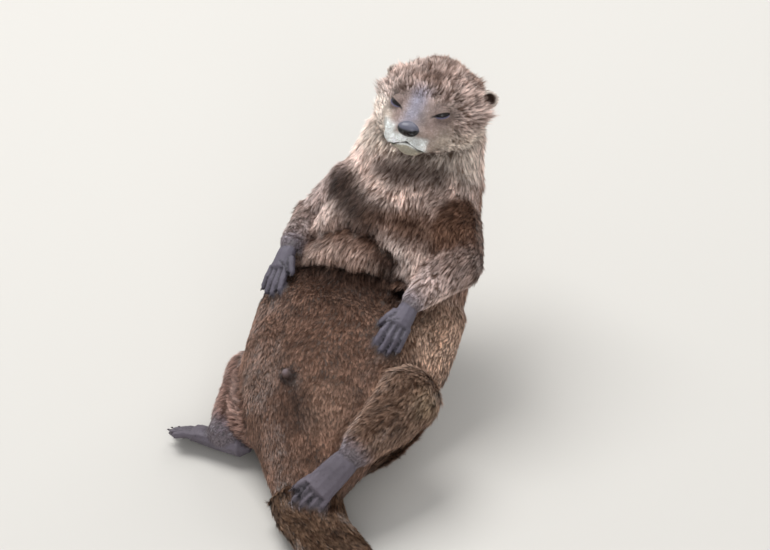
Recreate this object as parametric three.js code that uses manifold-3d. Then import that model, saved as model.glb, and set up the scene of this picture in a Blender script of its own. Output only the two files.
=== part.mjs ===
// A small-clawed otter at rest on its rump and back, with its head raised, its forepaws on its
// belly and its left hind foot on the root of its tail. Millimetres, +Z up.
// The floor is z = 0, the head end points along +Y and the otter's left is +X.
// The origin is the point of the floor under the hips. All sizes take in the coat.

import * as THREE from 'three';
import Module from 'manifold-3d';
import { mergeVertices } from 'three/addons/utils/BufferGeometryUtils.js';
import { LoftGeometry } from 'three/addons/geometries/LoftGeometry.js';

const wasm = await Module();
wasm.setup();

// ---------------------------------------------------------------- driving dimensions

const GAP = 0.3; // clearance between neighbouring pieces
const FLOOR = 0; // everything below this height is cut flat

const HIP_HEIGHT = 42; // centre line of the trunk above the floor at the hips
const TRUNK_LENGTH = 233; // hips to the base of the neck, along the centre line
const BELLY_HALF_WIDTH = 80; // widest half breadth of the trunk
const PELVIS_ROLL = 21; // degrees that the belly turns to the otter's right at the hips
const CHEST_ROLL = 4; // the same at the shoulders

const HEAD_CENTRE = new THREE.Vector3(15, 193, 199);
const HEAD_PITCH = 22; // degrees that the muzzle points above the level
const HEAD_LEAN = 4; // degrees that the left side of the head is lowered
const HEAD_HALF_WIDTH = 39;
const EYE_RADIUS = 5.5;
const EAR_HALF_WIDTH = 9;
const EAR_HALF_DEPTH = 4;
const EAR_TURN = 25; // degrees that an ear opens outwards from straight ahead

const UPPER_ARM = 49;
const FOREARM = 52;
const HAND_LENGTH = 44;
const THIGH = 58;
const SHANK = 64;
const FOOT_LENGTH = 58; // ankle to toes
const DIGIT_RADIUS = 3.4;
const CLAW_LENGTH = 3;
const CLAW_RADIUS = 1.1;

const TAIL_LENGTH = 290;
const TAIL_HALF_WIDTH = 30;
const TAIL_TIP_HALF_WIDTH = 7;

// ---------------------------------------------------------------- vectors and paths

const vec = (x, y, z) => new THREE.Vector3(x, y, z);
const radians = THREE.MathUtils.degToRad;
const UP = vec(0, 0, 1);

/** The unit direction with this heading, from +Y towards +X, and this rise above the level. */
function toward(heading, rise) {
  const level = Math.cos(radians(rise));
  return vec(Math.sin(radians(heading)) * level, Math.cos(radians(heading)) * level, Math.sin(radians(rise)));
}

/** The points passed on a walk from a start, where each step is [length, heading, rise]. */
function walk(start, steps) {
  const points = [start.clone()];
  for (const [length, heading, rise] of steps) {
    points.push(points.at(-1).clone().addScaledVector(toward(heading, rise), length));
  }
  return points;
}

// ---------------------------------------------------------------- solids

/** A closed BufferGeometry as a solid that can be joined and cut. */
function toSolid(geometry) {
  const bare = new THREE.BufferGeometry();
  bare.setAttribute('position', geometry.getAttribute('position'));
  bare.setIndex(geometry.getIndex());
  const merged = mergeVertices(bare);
  return new wasm.Manifold(new wasm.Mesh({
    numProp: 3,
    vertProperties: new Float32Array(merged.attributes.position.array),
    triVerts: new Uint32Array(merged.index.array),
  }));
}

/** A solid as a BufferGeometry. */
function toGeometry(solid) {
  const { vertProperties, triVerts } = solid.getMesh();
  const geometry = new THREE.BufferGeometry();
  geometry.setAttribute('position', new THREE.BufferAttribute(vertProperties, 3));
  geometry.setIndex(new THREE.BufferAttribute(triVerts, 1));
  geometry.computeVertexNormals();
  return geometry;
}

const join = (solids) => solids.reduce((whole, solid) => whole.add(solid));

const DOME_END = radians(78); // a dome stops here, on a small flat

/**
 * A solid of rounded sections along a path, with a dome on each end.
 * sizes holds [side, front, back] half sizes for each point of the path, facing the directions
 * of the front at the start and at the end, and domes the lengths of the two end domes. jowl is
 * the share by which a section is wider at its back than at its front. slant leans the first
 * section along the path, as a share of its half breadth, and dies out towards the end.
 */
function loft({
  path, sizes, facing, domes, domeSteps = 2, sides = 12, rows = 4, jowl = 0, slant = 0, grow = 0,
}) {
  const line = new THREE.CatmullRomCurve3(path);
  const spread = new THREE.CatmullRomCurve3(sizes.map((size) => vec(...size)));

  const section = (u, reach, shrink) => {
    const along = line.getTangent(u);
    const front = facing[0].clone().lerp(facing.at(-1), u);
    front.addScaledVector(along, -front.dot(along)).normalize();
    const side = front.clone().cross(along);
    const half = spread.getPoint(u).addScalar(grow).multiplyScalar(shrink);
    const centre = line.getPoint(u).addScaledVector(along, reach);
    return Array.from({ length: sides }, (_, i) => {
      const turn = (i + 0.5) / sides * Math.PI * 2;
      const across = Math.cos(turn) * half.x * (1 - jowl * Math.sin(turn));
      const depth = Math.sin(turn) * (Math.sin(turn) > 0 ? half.y : half.z);
      return centre.clone()
        .addScaledVector(side, across)
        .addScaledVector(front, depth)
        .addScaledVector(along, across * slant * (1 - u));
    });
  };

  const dome = (u, length) => Array.from({ length: domeSteps }, (_, i) => {
    const turn = DOME_END * (i + 1) / domeSteps;
    return section(u, (length + Math.sign(length) * grow) * Math.sin(turn), Math.cos(turn));
  });

  const middle = Array.from({ length: rows }, (_, i) => section(i / (rows - 1), 0, 1));
  const sections = [...dome(0, -domes[0]).reverse(), ...middle, ...dome(1, domes[1])];
  return toSolid(new LoftGeometry(sections, { capStart: true, capEnd: true }));
}

/** An ellipsoid with its three half sizes along the axes of a turned frame. */
function ellipsoid(centre, half, frame, grow, rings) {
  const ball = new THREE.SphereGeometry(1, ...rings);
  const grown = vec(...half).addScalar(grow);
  ball.applyMatrix4(new THREE.Matrix4().makeScale(grown.x, grown.y, grown.z));
  ball.applyMatrix4(frame);
  ball.translate(centre.x, centre.y, centre.z);
  return toSolid(ball);
}

// ---------------------------------------------------------------- trunk

const PELVIS_FRONT = vec(-Math.sin(radians(PELVIS_ROLL)), 0, Math.cos(radians(PELVIS_ROLL)));
const CHEST_FRONT = vec(-Math.sin(radians(CHEST_ROLL)), -0.3, 1);

// Each step is [share of the trunk's length, heading, rise].
const trunkSteps = (steps) => steps.map(([share, heading, rise]) => [share * TRUNK_LENGTH, heading, rise]);
const HIPS = vec(0, 0, HIP_HEIGHT);
const [, RUMP, TAIL_ROOT] = walk(HIPS, trunkSteps([[0.12, 172, -14], [0.107, 172, -20]]));
const [, LOIN, BELLY, RIBS, CHEST, SHOULDERS, NECK_BASE] = walk(HIPS, trunkSteps([
  [0.197, -10, 8], [0.176, 2, 11], [0.21, 10, 35], [0.168, 8, 46], [0.137, 7, 46], [0.107, 8, 50],
]));

const trunkSizes = (sizes) => sizes.map((size) => size.map((half) => half * BELLY_HALF_WIDTH / 80));

const abdomen = (grow) => loft({
  path: [TAIL_ROOT, RUMP, HIPS, LOIN, BELLY, RIBS],
  sizes: trunkSizes([[30, 18, 28], [43, 27, 38], [60, 44, 46], [72, 59, 54], [80, 66, 62], [74, 43, 60]]),
  facing: [PELVIS_FRONT, CHEST_FRONT], domes: [14, 30], sides: 18, rows: 11, grow,
});

const thorax = (grow) => loft({
  path: [RIBS, CHEST, SHOULDERS, NECK_BASE],
  sizes: trunkSizes([[68, 58, 56], [64, 52, 52], [58, 46, 46], [52, 42, 42]]),
  facing: [CHEST_FRONT, CHEST_FRONT], domes: [16, 24], sides: 18, rows: 6, slant: -0.11, grow,
});

// ---------------------------------------------------------------- head and neck

const HEAD_FORWARD = toward(180, HEAD_PITCH);
const HEAD_LEFT = vec(1, 0, 0).applyAxisAngle(HEAD_FORWARD, radians(-HEAD_LEAN));
const HEAD_UP = HEAD_FORWARD.clone().cross(HEAD_LEFT);
const HEAD_FRAME = new THREE.Matrix4().makeBasis(HEAD_FORWARD, HEAD_LEFT, HEAD_UP);
const HEAD_SCALE = HEAD_HALF_WIDTH / 39;

/** A point of the head, from distances forward, up and to the otter's left of its centre. */
const onHead = (forward, up, left) => HEAD_CENTRE.clone()
  .addScaledVector(HEAD_FORWARD, forward * HEAD_SCALE)
  .addScaledVector(HEAD_UP, up * HEAD_SCALE)
  .addScaledVector(HEAD_LEFT, left * HEAD_SCALE);

const headSizes = (sizes) => sizes.map((size) => size.map((half) => half * HEAD_SCALE));

const HEAD_LINE = [[-38, 4], [-20, 4], [0, 2], [15, 0], [28, -3], [38, -6], [46, -8]]; // [forward, up]

const skull = (grow) => loft({
  path: HEAD_LINE.map(([forward, up]) => onHead(forward, up, 0)),
  sizes: headSizes([
    [27, 27, 24], [35, 36, 31], [39, 38, 33], [37, 31, 30], [28, 19, 24], [22, 13, 19], [18, 9, 14],
  ]),
  facing: [HEAD_UP, HEAD_UP], domes: [12, 4], sides: 18, rows: 11, jowl: 0.12, grow,
});

/** A rounded part of the head with its half sizes forward, sideways and upwards. */
const headPart = (centre, half, grow, rings) => ellipsoid(
  onHead(...centre), half.map((size) => size * HEAD_SCALE), HEAD_FRAME, grow, rings);

const lipPad = (side, grow) => headPart([38, -12, 9 * side], [13, 12.5, 10], grow, [9, 6]);
const chin = (grow) => headPart([33, -19, 0], [13, 12, 8], grow, [9, 6]);
const head = (grow) => join([skull(grow), lipPad(1, grow), lipPad(-1, grow), chin(grow)]);
const nose = (grow) => headPart([50, -2, 0], [6, 8.5, 6.5], grow, [10, 7]);

const eye = (side) => (grow) => ellipsoid(
  onHead(28, 8.5, 16.7 * side), [EYE_RADIUS, EYE_RADIUS, EYE_RADIUS], HEAD_FRAME, grow, [9, 6]);

/** A small rounded ear with a hollow in its front. */
const ear = (side) => (grow) => {
  const frame = HEAD_FRAME.clone().multiply(new THREE.Matrix4().makeRotationZ(radians(EAR_TURN * side)));
  const open = vec(1, 0, 0).applyMatrix4(frame);
  const centre = onHead(-18, 16, 36 * side);
  const half = [EAR_HALF_DEPTH, EAR_HALF_WIDTH, EAR_HALF_WIDTH * 0.85];
  const inside = [EAR_HALF_DEPTH, EAR_HALF_WIDTH * 0.68, EAR_HALF_WIDTH * 0.55];
  const lobe = ellipsoid(centre, half, frame, grow, [10, 6]);
  const hollow = ellipsoid(centre.addScaledVector(open, EAR_HALF_DEPTH * 0.9), inside, frame, -grow, [8, 4]);
  return lobe.subtract(hollow);
};

const neck = (grow) => loft({
  path: walk(NECK_BASE, [[24, 15, 55], [16, 15, 30]]),
  sizes: [[52, 42, 40], [47, 40, 34], [40, 36, 29]],
  facing: [CHEST_FRONT, HEAD_UP], domes: [10, 10], sides: 15, grow,
});

// ---------------------------------------------------------------- limbs

const arms = {
  left: walk(vec(37, 163, 138), [[UPPER_ARM, 147, -19], [FOREARM, -158.6, -7.8]]),
  right: walk(vec(-31, 164, 140), [[UPPER_ARM, -96, -47], [FOREARM, 179, 14]]),
};
const legs = {
  left: walk(vec(26, 0, 33), [[THIGH, 57, 44], [SHANK, -162, -9]]),
  right: walk(vec(-42, 12, 34), [[THIGH, -32, -10], [SHANK, -178, -5]]),
};

/** A limb between two joints, with [side, front, back] half sizes at its start, middle and end. */
const limb = ([from, to], sizes) => (grow) => loft({
  path: [from, from.clone().lerp(to, 0.5), to], sizes, facing: [UP, UP],
  domes: [sizes[0][0] * 0.8, sizes[2][0] * 0.8], grow,
});

const LEFT_UPPER_ARM = [[26, 26, 24], [25, 25, 22], [20, 20, 18]];
const LEFT_FOREARM = [[21, 21, 20], [16, 15, 14], [10, 9, 9]];
const RIGHT_UPPER_ARM = [[24, 24, 24], [20, 20, 20], [15, 15, 15]];
const RIGHT_FOREARM = [[17, 17, 17], [13, 12, 12], [10, 9, 9]];
const LEFT_THIGH = [[24, 24, 24], [29, 28, 28], [23, 23, 23]];
const RIGHT_THIGH = [[32, 30, 30], [30, 29, 29], [23, 22, 22]];
const SHANK_SIZES = [[26, 26, 26], [20, 20, 20], [14, 13, 13]];

/**
 * A paw: a flat pad from the wrist or ankle to the knuckles, with five digits and their claws.
 * along is where it points, back its outer face, and inner the side of its first digit.
 * The pad ends at knuckles. Each digit is [place across the pad, spread in degrees, where it starts,
 * its length], the last two as shares of the paw's length.
 */
const paw = ({
  start, along, back, inner, length, knuckles, halfWidth, halfDepth, digits, curl,
}) => (grow) => {
  const side = back.clone().cross(along).normalize().multiplyScalar(inner);
  const lift = along.clone().cross(side).multiplyScalar(inner);
  const place = (run, across) => start.clone().addScaledVector(along, run).addScaledVector(side, across);
  const pad = loft({
    path: [place(0, 0), place(knuckles * 0.5, 0), place(knuckles, 0)],
    sizes: [
      [halfWidth * 0.75, halfDepth, halfDepth],
      [halfWidth * 0.9, halfDepth, halfDepth],
      [halfWidth, halfDepth * 0.8, halfDepth * 0.8],
    ],
    facing: [lift, lift], domes: [halfDepth, 4], domeSteps: 1, sides: 10, rows: 3, grow,
  });
  const fingers = digits.flatMap(([across, spread, from, share]) => {
    const aim = along.clone().multiplyScalar(Math.cos(radians(spread)))
      .addScaledVector(side, Math.sin(radians(spread)));
    const root = place(length * from, across * halfWidth);
    const run = share * length;
    const middle = root.clone().addScaledVector(aim, run * 0.55).addScaledVector(lift, -run * curl * 0.2);
    const tip = root.clone().addScaledVector(aim, run).addScaledVector(lift, -run * curl);
    const digit = loft({
      path: [root, middle, tip],
      sizes: [1, 0.95, 0.85].map((part) => Array(3).fill(DIGIT_RADIUS * part)),
      facing: [lift, lift], domes: [1, 3], domeSteps: 1, sides: 6, rows: 3, grow,
    });
    const claw = new THREE.ConeGeometry(CLAW_RADIUS + grow, CLAW_LENGTH + grow, 4);
    claw.applyQuaternion(new THREE.Quaternion().setFromUnitVectors(vec(0, 1, 0), aim));
    const clawPlace = tip.clone().addScaledVector(aim, 2.6).addScaledVector(lift, DIGIT_RADIUS * 0.45);
    claw.translate(clawPlace.x, clawPlace.y, clawPlace.z);
    return [digit, toSolid(claw)];
  });
  return join([pad, ...fingers]);
};

const HAND = {
  length: HAND_LENGTH, knuckles: HAND_LENGTH * 0.52, halfWidth: 9, halfDepth: 6,
  digits: [
    [0.75, 24, 0.3, 0.3], [0.74, 5, 0.5, 0.42], [0.24, 0, 0.53, 0.45],
    [-0.26, -3, 0.52, 0.43], [-0.72, -6, 0.48, 0.38],
  ],
};
const FOOT = {
  length: FOOT_LENGTH, knuckles: FOOT_LENGTH * 0.68, halfWidth: 12.5, halfDepth: 8, curl: 0.2,
  digits: [
    [0.75, 14, 0.6, 0.26], [0.42, 7, 0.66, 0.3], [0.03, 0, 0.68, 0.3],
    [-0.36, -6, 0.67, 0.28], [-0.72, -12, 0.62, 0.25],
  ],
};

const handLeft = paw({
  ...HAND, start: arms.left[2], along: toward(187, -15), back: toward(139, 57), inner: -1, curl: 0.4,
});
const handRight = paw({
  ...HAND, start: arms.right[2], along: toward(184, -23), back: toward(-125, 58), inner: 1, curl: 0.1,
});
const footLeft = paw({
  ...FOOT, start: legs.left[2], along: toward(-143, -32), back: toward(168, 48), inner: -1,
});
const footRight = paw({
  ...FOOT, start: vec(-59, -6, 13.5), along: toward(-80, -4), back: toward(0, 62), inner: 1,
});

// ---------------------------------------------------------------- tail

const TAIL_PRESS = 1; // how far the floor flattens the tail
const TAIL_UNDER = 0.73; // height of the tail's underside below its centre line, for its half width
const TAIL_UPPER = 0.6; // the same above the centre line

// Each step is [share of the tail's length, heading].
const TAIL_STEPS = [[0.1, 145], [0.14, 125], [0.21, 135], [0.21, 150], [0.2, 170], [0.14, 180]];
const tailHalfWidth = (i) => {
  const share = i / TAIL_STEPS.length;
  return THREE.MathUtils.lerp(TAIL_HALF_WIDTH, TAIL_TIP_HALF_WIDTH, share);
};
const tailPath = walk(TAIL_ROOT, TAIL_STEPS.map(([share, heading]) => [share * TAIL_LENGTH, heading, 0]));
tailPath.slice(1).forEach((point, i) => point.setZ(FLOOR + TAIL_UNDER * tailHalfWidth(i + 1) - TAIL_PRESS));

/** The tail between two points of its path. */
const tail = (first, last) => (grow) => loft({
  path: tailPath.slice(first, last + 1),
  sizes: tailPath.slice(first, last + 1).map((_, i) => {
    const half = tailHalfWidth(first + i);
    return [half, half * TAIL_UPPER, half * TAIL_UNDER];
  }),
  facing: [first ? UP : PELVIS_FRONT, UP], domes: [8, 10], sides: 11, grow,
});

// ---------------------------------------------------------------- the pieces, in their order of cutting

const BROWN = 0x66503f;
const BEIGE = 0x96877c;
const SLATE = 0x6f6a73;
const CHARCOAL = 0x37343c;
const BLACK = 0x0d0b0c;

// Each piece keeps its shape where it meets the ones after it.
const pieces = [
  ['eye_left', eye(1), BLACK],
  ['eye_right', eye(-1), BLACK],
  ['nose', nose, CHARCOAL],
  ['head', head, BEIGE],
  ['ear_left', ear(1), BROWN],
  ['ear_right', ear(-1), BROWN],
  ['thorax', thorax, BEIGE],
  ['neck', neck, BEIGE],
  ['abdomen', abdomen, BROWN],
  ['tail_base', tail(0, 2), BROWN],
  ['tail_middle', tail(2, 4), BROWN],
  ['tail_tip', tail(4, 6), BROWN],
  ['foot_left', footLeft, SLATE],
  ['foot_right', footRight, SLATE],
  ['shank_left', limb(legs.left.slice(1), SHANK_SIZES), BROWN],
  ['shank_right', limb(legs.right.slice(1), SHANK_SIZES), BROWN],
  ['thigh_left', limb(legs.left.slice(0, 2), LEFT_THIGH), BROWN],
  ['thigh_right', limb(legs.right.slice(0, 2), RIGHT_THIGH), BROWN],
  ['hand_left', handLeft, SLATE],
  ['hand_right', handRight, SLATE],
  ['forearm_left', limb(arms.left.slice(1), LEFT_FOREARM), BROWN],
  ['forearm_right', limb(arms.right.slice(1), RIGHT_FOREARM), BROWN],
  ['upper_arm_left', limb(arms.left.slice(0, 2), LEFT_UPPER_ARM), BROWN],
  ['upper_arm_right', limb(arms.right.slice(0, 2), RIGHT_UPPER_ARM), BROWN],
];

const GROUND = [2000, 2000, 200];
const ground = toSolid(new THREE.BoxGeometry(...GROUND).translate(0, 0, FLOOR - GROUND[2] / 2));

const otter = new THREE.Group();
const earlier = [];
for (const [name, shape, color] of pieces) {
  const cut = earlier.reduce((solid, other) => solid.subtract(other), shape(0).subtract(ground));
  earlier.push(shape(GAP));
  // A cut can leave slivers beside the piece, so only its largest body is kept.
  const body = cut.decompose().sort((a, b) => b.volume() - a.volume())[0];
  const mesh = new THREE.Mesh(
    toGeometry(body), new THREE.MeshStandardMaterial({ color, roughness: 0.8, metalness: 0 }));
  mesh.name = name;
  otter.add(mesh);
}

export default otter;
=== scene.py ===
# %% [markdown]
# # A small-clawed otter lying on its back
#
# The CAD frame holds the otter as two dozen plain closed solids at their real size. This lesson
# gives it its looks: one skin, two eyes, a nose pad, claws, whiskers and nearly a hundred thousand
# small tufts of fur. Everything is in metres and in the frame's own axes: +Z is up, the head end
# points along +Y, and the otter's left is +X.

# %% Open the frame
import math

import bmesh
import bpy
import numpy as np
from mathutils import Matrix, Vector
from mathutils.bvhtree import BVHTree


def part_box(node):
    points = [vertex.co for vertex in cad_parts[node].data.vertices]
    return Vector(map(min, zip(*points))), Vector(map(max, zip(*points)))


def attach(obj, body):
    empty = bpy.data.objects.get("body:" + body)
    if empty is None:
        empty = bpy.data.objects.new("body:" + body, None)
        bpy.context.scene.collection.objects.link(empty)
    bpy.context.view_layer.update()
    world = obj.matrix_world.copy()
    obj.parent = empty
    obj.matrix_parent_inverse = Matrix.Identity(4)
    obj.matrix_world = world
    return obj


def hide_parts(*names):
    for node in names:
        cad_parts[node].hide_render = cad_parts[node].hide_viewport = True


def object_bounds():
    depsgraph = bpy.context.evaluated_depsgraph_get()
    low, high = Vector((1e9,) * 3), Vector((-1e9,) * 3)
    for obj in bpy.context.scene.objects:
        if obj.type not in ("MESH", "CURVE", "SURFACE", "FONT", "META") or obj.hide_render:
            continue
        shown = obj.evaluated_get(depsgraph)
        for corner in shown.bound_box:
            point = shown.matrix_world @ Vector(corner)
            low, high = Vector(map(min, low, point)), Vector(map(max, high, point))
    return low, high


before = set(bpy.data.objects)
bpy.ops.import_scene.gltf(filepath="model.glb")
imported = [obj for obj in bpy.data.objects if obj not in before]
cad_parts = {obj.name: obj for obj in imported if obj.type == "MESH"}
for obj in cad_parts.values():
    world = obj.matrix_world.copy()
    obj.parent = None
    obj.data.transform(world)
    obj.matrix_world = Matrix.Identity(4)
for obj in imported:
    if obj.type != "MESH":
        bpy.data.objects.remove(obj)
cad_low, cad_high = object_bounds()
MM = 0.001

print("CAD box in mm:", [round(v / MM) for v in (cad_high - cad_low)])

# %% [markdown]
# ## Small helpers
#
# A colour is written as it would be on a paint card, in sRGB hex, and turned to the linear values
# that the renderer works in. One function adds a node to any tree, sets its values and links its
# inputs, so that a whole tree reads as a list of lines.

# %% Colour and nodes


def linear(hex_colour):
    """An sRGB hex colour as linear red, green, blue and alpha."""
    parts = [int(hex_colour[i:i + 2], 16) / 255 for i in (1, 3, 5)]
    return [c / 12.92 if c <= 0.04045 else ((c + 0.055) / 1.055) ** 2.4 for c in parts] + [1.0]


def add(tree, kind, values=None, links=None, **settings):
    """Adds a node, sets its properties and input values, and links other nodes' outputs to its inputs."""
    node = tree.nodes.new(kind)
    for name, value in settings.items():
        setattr(node, name, value)
    for name, value in (values or {}).items():
        node.inputs[name].default_value = value
    for name, output in (links or {}).items():
        tree.links.new(output, node.inputs[name])
    return node


def new_object(name, data):
    """A new object in the scene."""
    made = bpy.data.objects.new(name, data)
    bpy.context.scene.collection.objects.link(made)
    return made


def new_finish(name):
    """A new material, its tree and its shader."""
    material = bpy.data.materials.new(name)
    material.use_nodes = True
    return material, material.node_tree, material.node_tree.nodes["Principled BSDF"]


print("a mid grey in linear light:", round(linear("#808080")[0], 3))

# %% Shapes in numbers


def unit(v):
    """Vectors with length one, in an array or alone."""
    v = np.asarray(v, dtype=float)
    return v / np.maximum(np.linalg.norm(v, axis=-1, keepdims=True), 1e-12)


def ramp(x, start, end):
    """A smooth step from 0 at start to 1 at end."""
    t = np.clip((x - start) / (end - start), 0, 1)
    return t * t * (3 - 2 * t)


def hill(x, middle, width):
    """A smooth bump of height 1 at the middle."""
    return np.exp(-((x - middle) / width) ** 2)


def off_path(path, here):
    """For each stretch of a path in turn, how every point lies off its nearest spot."""
    for a, b in zip(np.array(path[:-1], dtype=float), np.array(path[1:], dtype=float)):
        t = np.clip((here - a) @ (b - a) / ((b - a) @ (b - a)), 0, 1)
        yield here - a - t[:, None] * (b - a)


print("a ramp halfway up:", float(ramp(0.5, 0, 1)), "a hill one width out:", round(float(hill(1, 0, 1)), 3))

# %% [markdown]
# ## Landmarks
#
# The eyes and the nose of the frame fix the head's own axes: forward, left and up. Sizes on the
# head are then given in millimetres along those axes, from the centre of the skull. The centres of
# the other solids, taken in order from head to tail and from shoulder to toe, say which way the
# coat runs on each.

# %% Landmarks from the frame
SOLIDS = list(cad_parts)
FLESH = [name for name in SOLIDS if not name.startswith(("eye", "nose"))]


def middle_of(name):
    """The centre of a CAD node's box."""
    low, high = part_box(name)
    return (np.array(low) + np.array(high)) / 2


EYE_RADIUS = (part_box("eye_left")[1][0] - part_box("eye_left")[0][0]) / 2
EYE_FORWARD, EYE_UP = 28 * MM, 8.5 * MM  # from the centre of the skull
NOSE_BELOW_EYES = math.radians(25.5)

eye_centres = {side: middle_of(f"eye_{side}") for side in ("left", "right")}
HEAD_LEFT = unit(eye_centres["left"] - eye_centres["right"])
between_eyes = (eye_centres["left"] + eye_centres["right"]) / 2
to_nose = unit(middle_of("nose") - between_eyes)
to_nose = unit(to_nose - HEAD_LEFT * (to_nose @ HEAD_LEFT))
nose_normal = np.cross(to_nose, HEAD_LEFT)
HEAD_FORWARD = to_nose * math.cos(NOSE_BELOW_EYES) + nose_normal * math.sin(NOSE_BELOW_EYES)
HEAD_UP = np.cross(HEAD_FORWARD, HEAD_LEFT)
HEAD_CENTRE = between_eyes - HEAD_FORWARD * EYE_FORWARD - HEAD_UP * EYE_UP


def head_space(points):
    """Millimetres forward, left and up of the skull's centre, for points in the frame."""
    d = (np.asarray(points) - HEAD_CENTRE) / MM
    return d @ HEAD_FORWARD, d @ HEAD_LEFT, d @ HEAD_UP


def on_head(forward, left, up):
    """The point in the frame that lies so many millimetres forward, left and up on the head."""
    return HEAD_CENTRE + (HEAD_FORWARD * forward + HEAD_LEFT * left + HEAD_UP * up) * MM


print("skull centre in mm:", (HEAD_CENTRE / MM).round(1), "eye radius:", round(EYE_RADIUS / MM, 2))

# %% [markdown]
# ## Camera, light and floor
#
# The otter is seen from its feet, from a little to its left and well above, through a long lens
# that keeps its proportions. The light is that of a studio on a bright day: one large soft lamp
# overhead, two weaker ones in front and behind, and a pale world that fills the shadows. The floor
# is plain. Nothing here is brighter than it has to be, so that a colour renders about as it is written.

# %% Camera
CAMERA_AZIMUTH = math.radians(20)
CAMERA_HEIGHT = math.radians(38)
CAMERA_DISTANCE = 3.0  # metres
VIEW_WIDTH = 0.557971  # metres across the picture, at the target
CAMERA_TARGET = np.array([20.6, 81.1, 130.5]) * MM
SENSOR = 36  # millimetres

to_camera = np.array([
    math.sin(CAMERA_AZIMUTH) * math.cos(CAMERA_HEIGHT),
    -math.cos(CAMERA_AZIMUTH) * math.cos(CAMERA_HEIGHT),
    math.sin(CAMERA_HEIGHT),
])
camera_data = bpy.data.cameras.new("camera")
camera_data.sensor_width = SENSOR
camera_data.lens = SENSOR * CAMERA_DISTANCE / VIEW_WIDTH
camera_data.clip_end = 100
camera = new_object("camera", camera_data)
camera.location = Vector(CAMERA_TARGET + to_camera * CAMERA_DISTANCE)
camera.rotation_mode = "QUATERNION"
camera.rotation_quaternion = Vector(-to_camera).to_track_quat("-Z", "Y")
bpy.context.scene.camera = camera
bpy.context.scene.view_settings.view_transform = "Standard"
print("lens in mm:", round(camera_data.lens))

# %% Lamps, world and floor
LAMPS = {
    # name: place in metres, size in metres, power in watts
    "overhead": ((-0.9, 0.6, 2.4), 1.6, 58),
    "front": ((1.2, -2.2, 1.5), 1.6, 22),
    "behind": ((0.6, 2.4, 1.8), 1.4, 22),
}
for name, (place, size, power) in LAMPS.items():
    lamp = bpy.data.lights.new(name, "AREA")
    lamp.size = size
    lamp.energy = power
    lamp_object = new_object(name, lamp)
    lamp_object.location = place
    aim = Vector(CAMERA_TARGET) - Vector(place)
    lamp_object.rotation_mode = "QUATERNION"
    lamp_object.rotation_quaternion = aim.to_track_quat("-Z", "Y")

world = bpy.data.worlds.new("studio")
bpy.context.scene.world = world
world.use_nodes = True
tree = world.node_tree
tree.nodes.clear()
ray = add(tree, "ShaderNodeLightPath")
lit = add(tree, "ShaderNodeBackground", {"Color": linear("#e6e8ec"), "Strength": 0.5})
seen = add(tree, "ShaderNodeBackground", {"Color": linear("#e9e8e4"), "Strength": 1.0})
direct = add(tree, "ShaderNodeMath", None, {
    0: ray.outputs["Is Camera Ray"], 1: ray.outputs["Is Glossy Ray"]}, operation="MAXIMUM")
direct = add(tree, "ShaderNodeMath", None, {
    0: direct.outputs[0], 1: ray.outputs["Is Transmission Ray"]}, operation="MAXIMUM")
world_mix = add(tree, "ShaderNodeMixShader", None, {
    0: direct.outputs[0], 1: lit.outputs[0], 2: seen.outputs[0]})
add(tree, "ShaderNodeOutputWorld", None, {"Surface": world_mix.outputs[0]})

FLOOR_SIZE = 60  # metres, so that no edge of it shows
floor_mesh = bpy.data.meshes.new("floor")
floor_maker = bmesh.new()
bmesh.ops.create_grid(floor_maker, x_segments=1, y_segments=1, size=FLOOR_SIZE / 2)
floor_maker.to_mesh(floor_mesh)
floor_maker.free()
floor = new_object("floor", floor_mesh)
floor_paint, _, shader = new_finish("matt studio floor paint")
shader.inputs["Base Color"].default_value = linear("#cfccc6")
shader.inputs["Roughness"].default_value = 0.9  # dry and chalky, with no shine
floor_mesh.materials.append(floor_paint)
print("lamps:", list(LAMPS), "floor in metres:", FLOOR_SIZE)

# %% [markdown]
# ## One skin from two dozen solids
#
# An otter's hide has no seam where a leg meets the belly. The solids of the frame do have gaps
# between them, so they are joined and remeshed over a fine grid of voxels, which closes every gap
# narrower than a voxel. The eyes and the nose go in as well, so that there is skin in front of each
# eye to make lids of. A grid that parts the fingers makes far more faces than the trunk needs, so
# the trunk, limbs and tail are thinned out again, while the head and the paws keep theirs, and the
# face is divided once or twice more for its lids and mouth.

# %% Merge and remesh
VOXEL = 1.25 * MM
KEPT_SHARE = 0.34  # of the faces, after the parts under deep fur are thinned


def mesh_arrays(mesh):
    """The vertices, and the two ends of every edge, of a mesh."""
    points = np.empty(len(mesh.vertices) * 3)
    mesh.vertices.foreach_get("co", points)
    ends = np.empty(len(mesh.edges) * 2, dtype=np.int32)
    mesh.edges.foreach_get("vertices", ends)
    return points.reshape(-1, 3), ends.reshape(-1, 2)


def plain_mesh(an_object):
    """The evaluated mesh of an object as a new plain mesh."""
    evaluated = an_object.evaluated_get(bpy.context.evaluated_depsgraph_get())
    return bpy.data.meshes.new_from_object(evaluated)


def closed_copy(maker, node):
    """Adds a CAD node to a bmesh, with its loose triangles joined into closed faces."""
    piece = bmesh.new()
    piece.from_mesh(node.data)
    bmesh.ops.remove_doubles(piece, verts=piece.verts, dist=0.001 * MM)
    joined = bpy.data.meshes.new("joined")
    piece.to_mesh(joined)
    piece.free()
    maker.from_mesh(joined)
    bpy.data.meshes.remove(joined)


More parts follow.
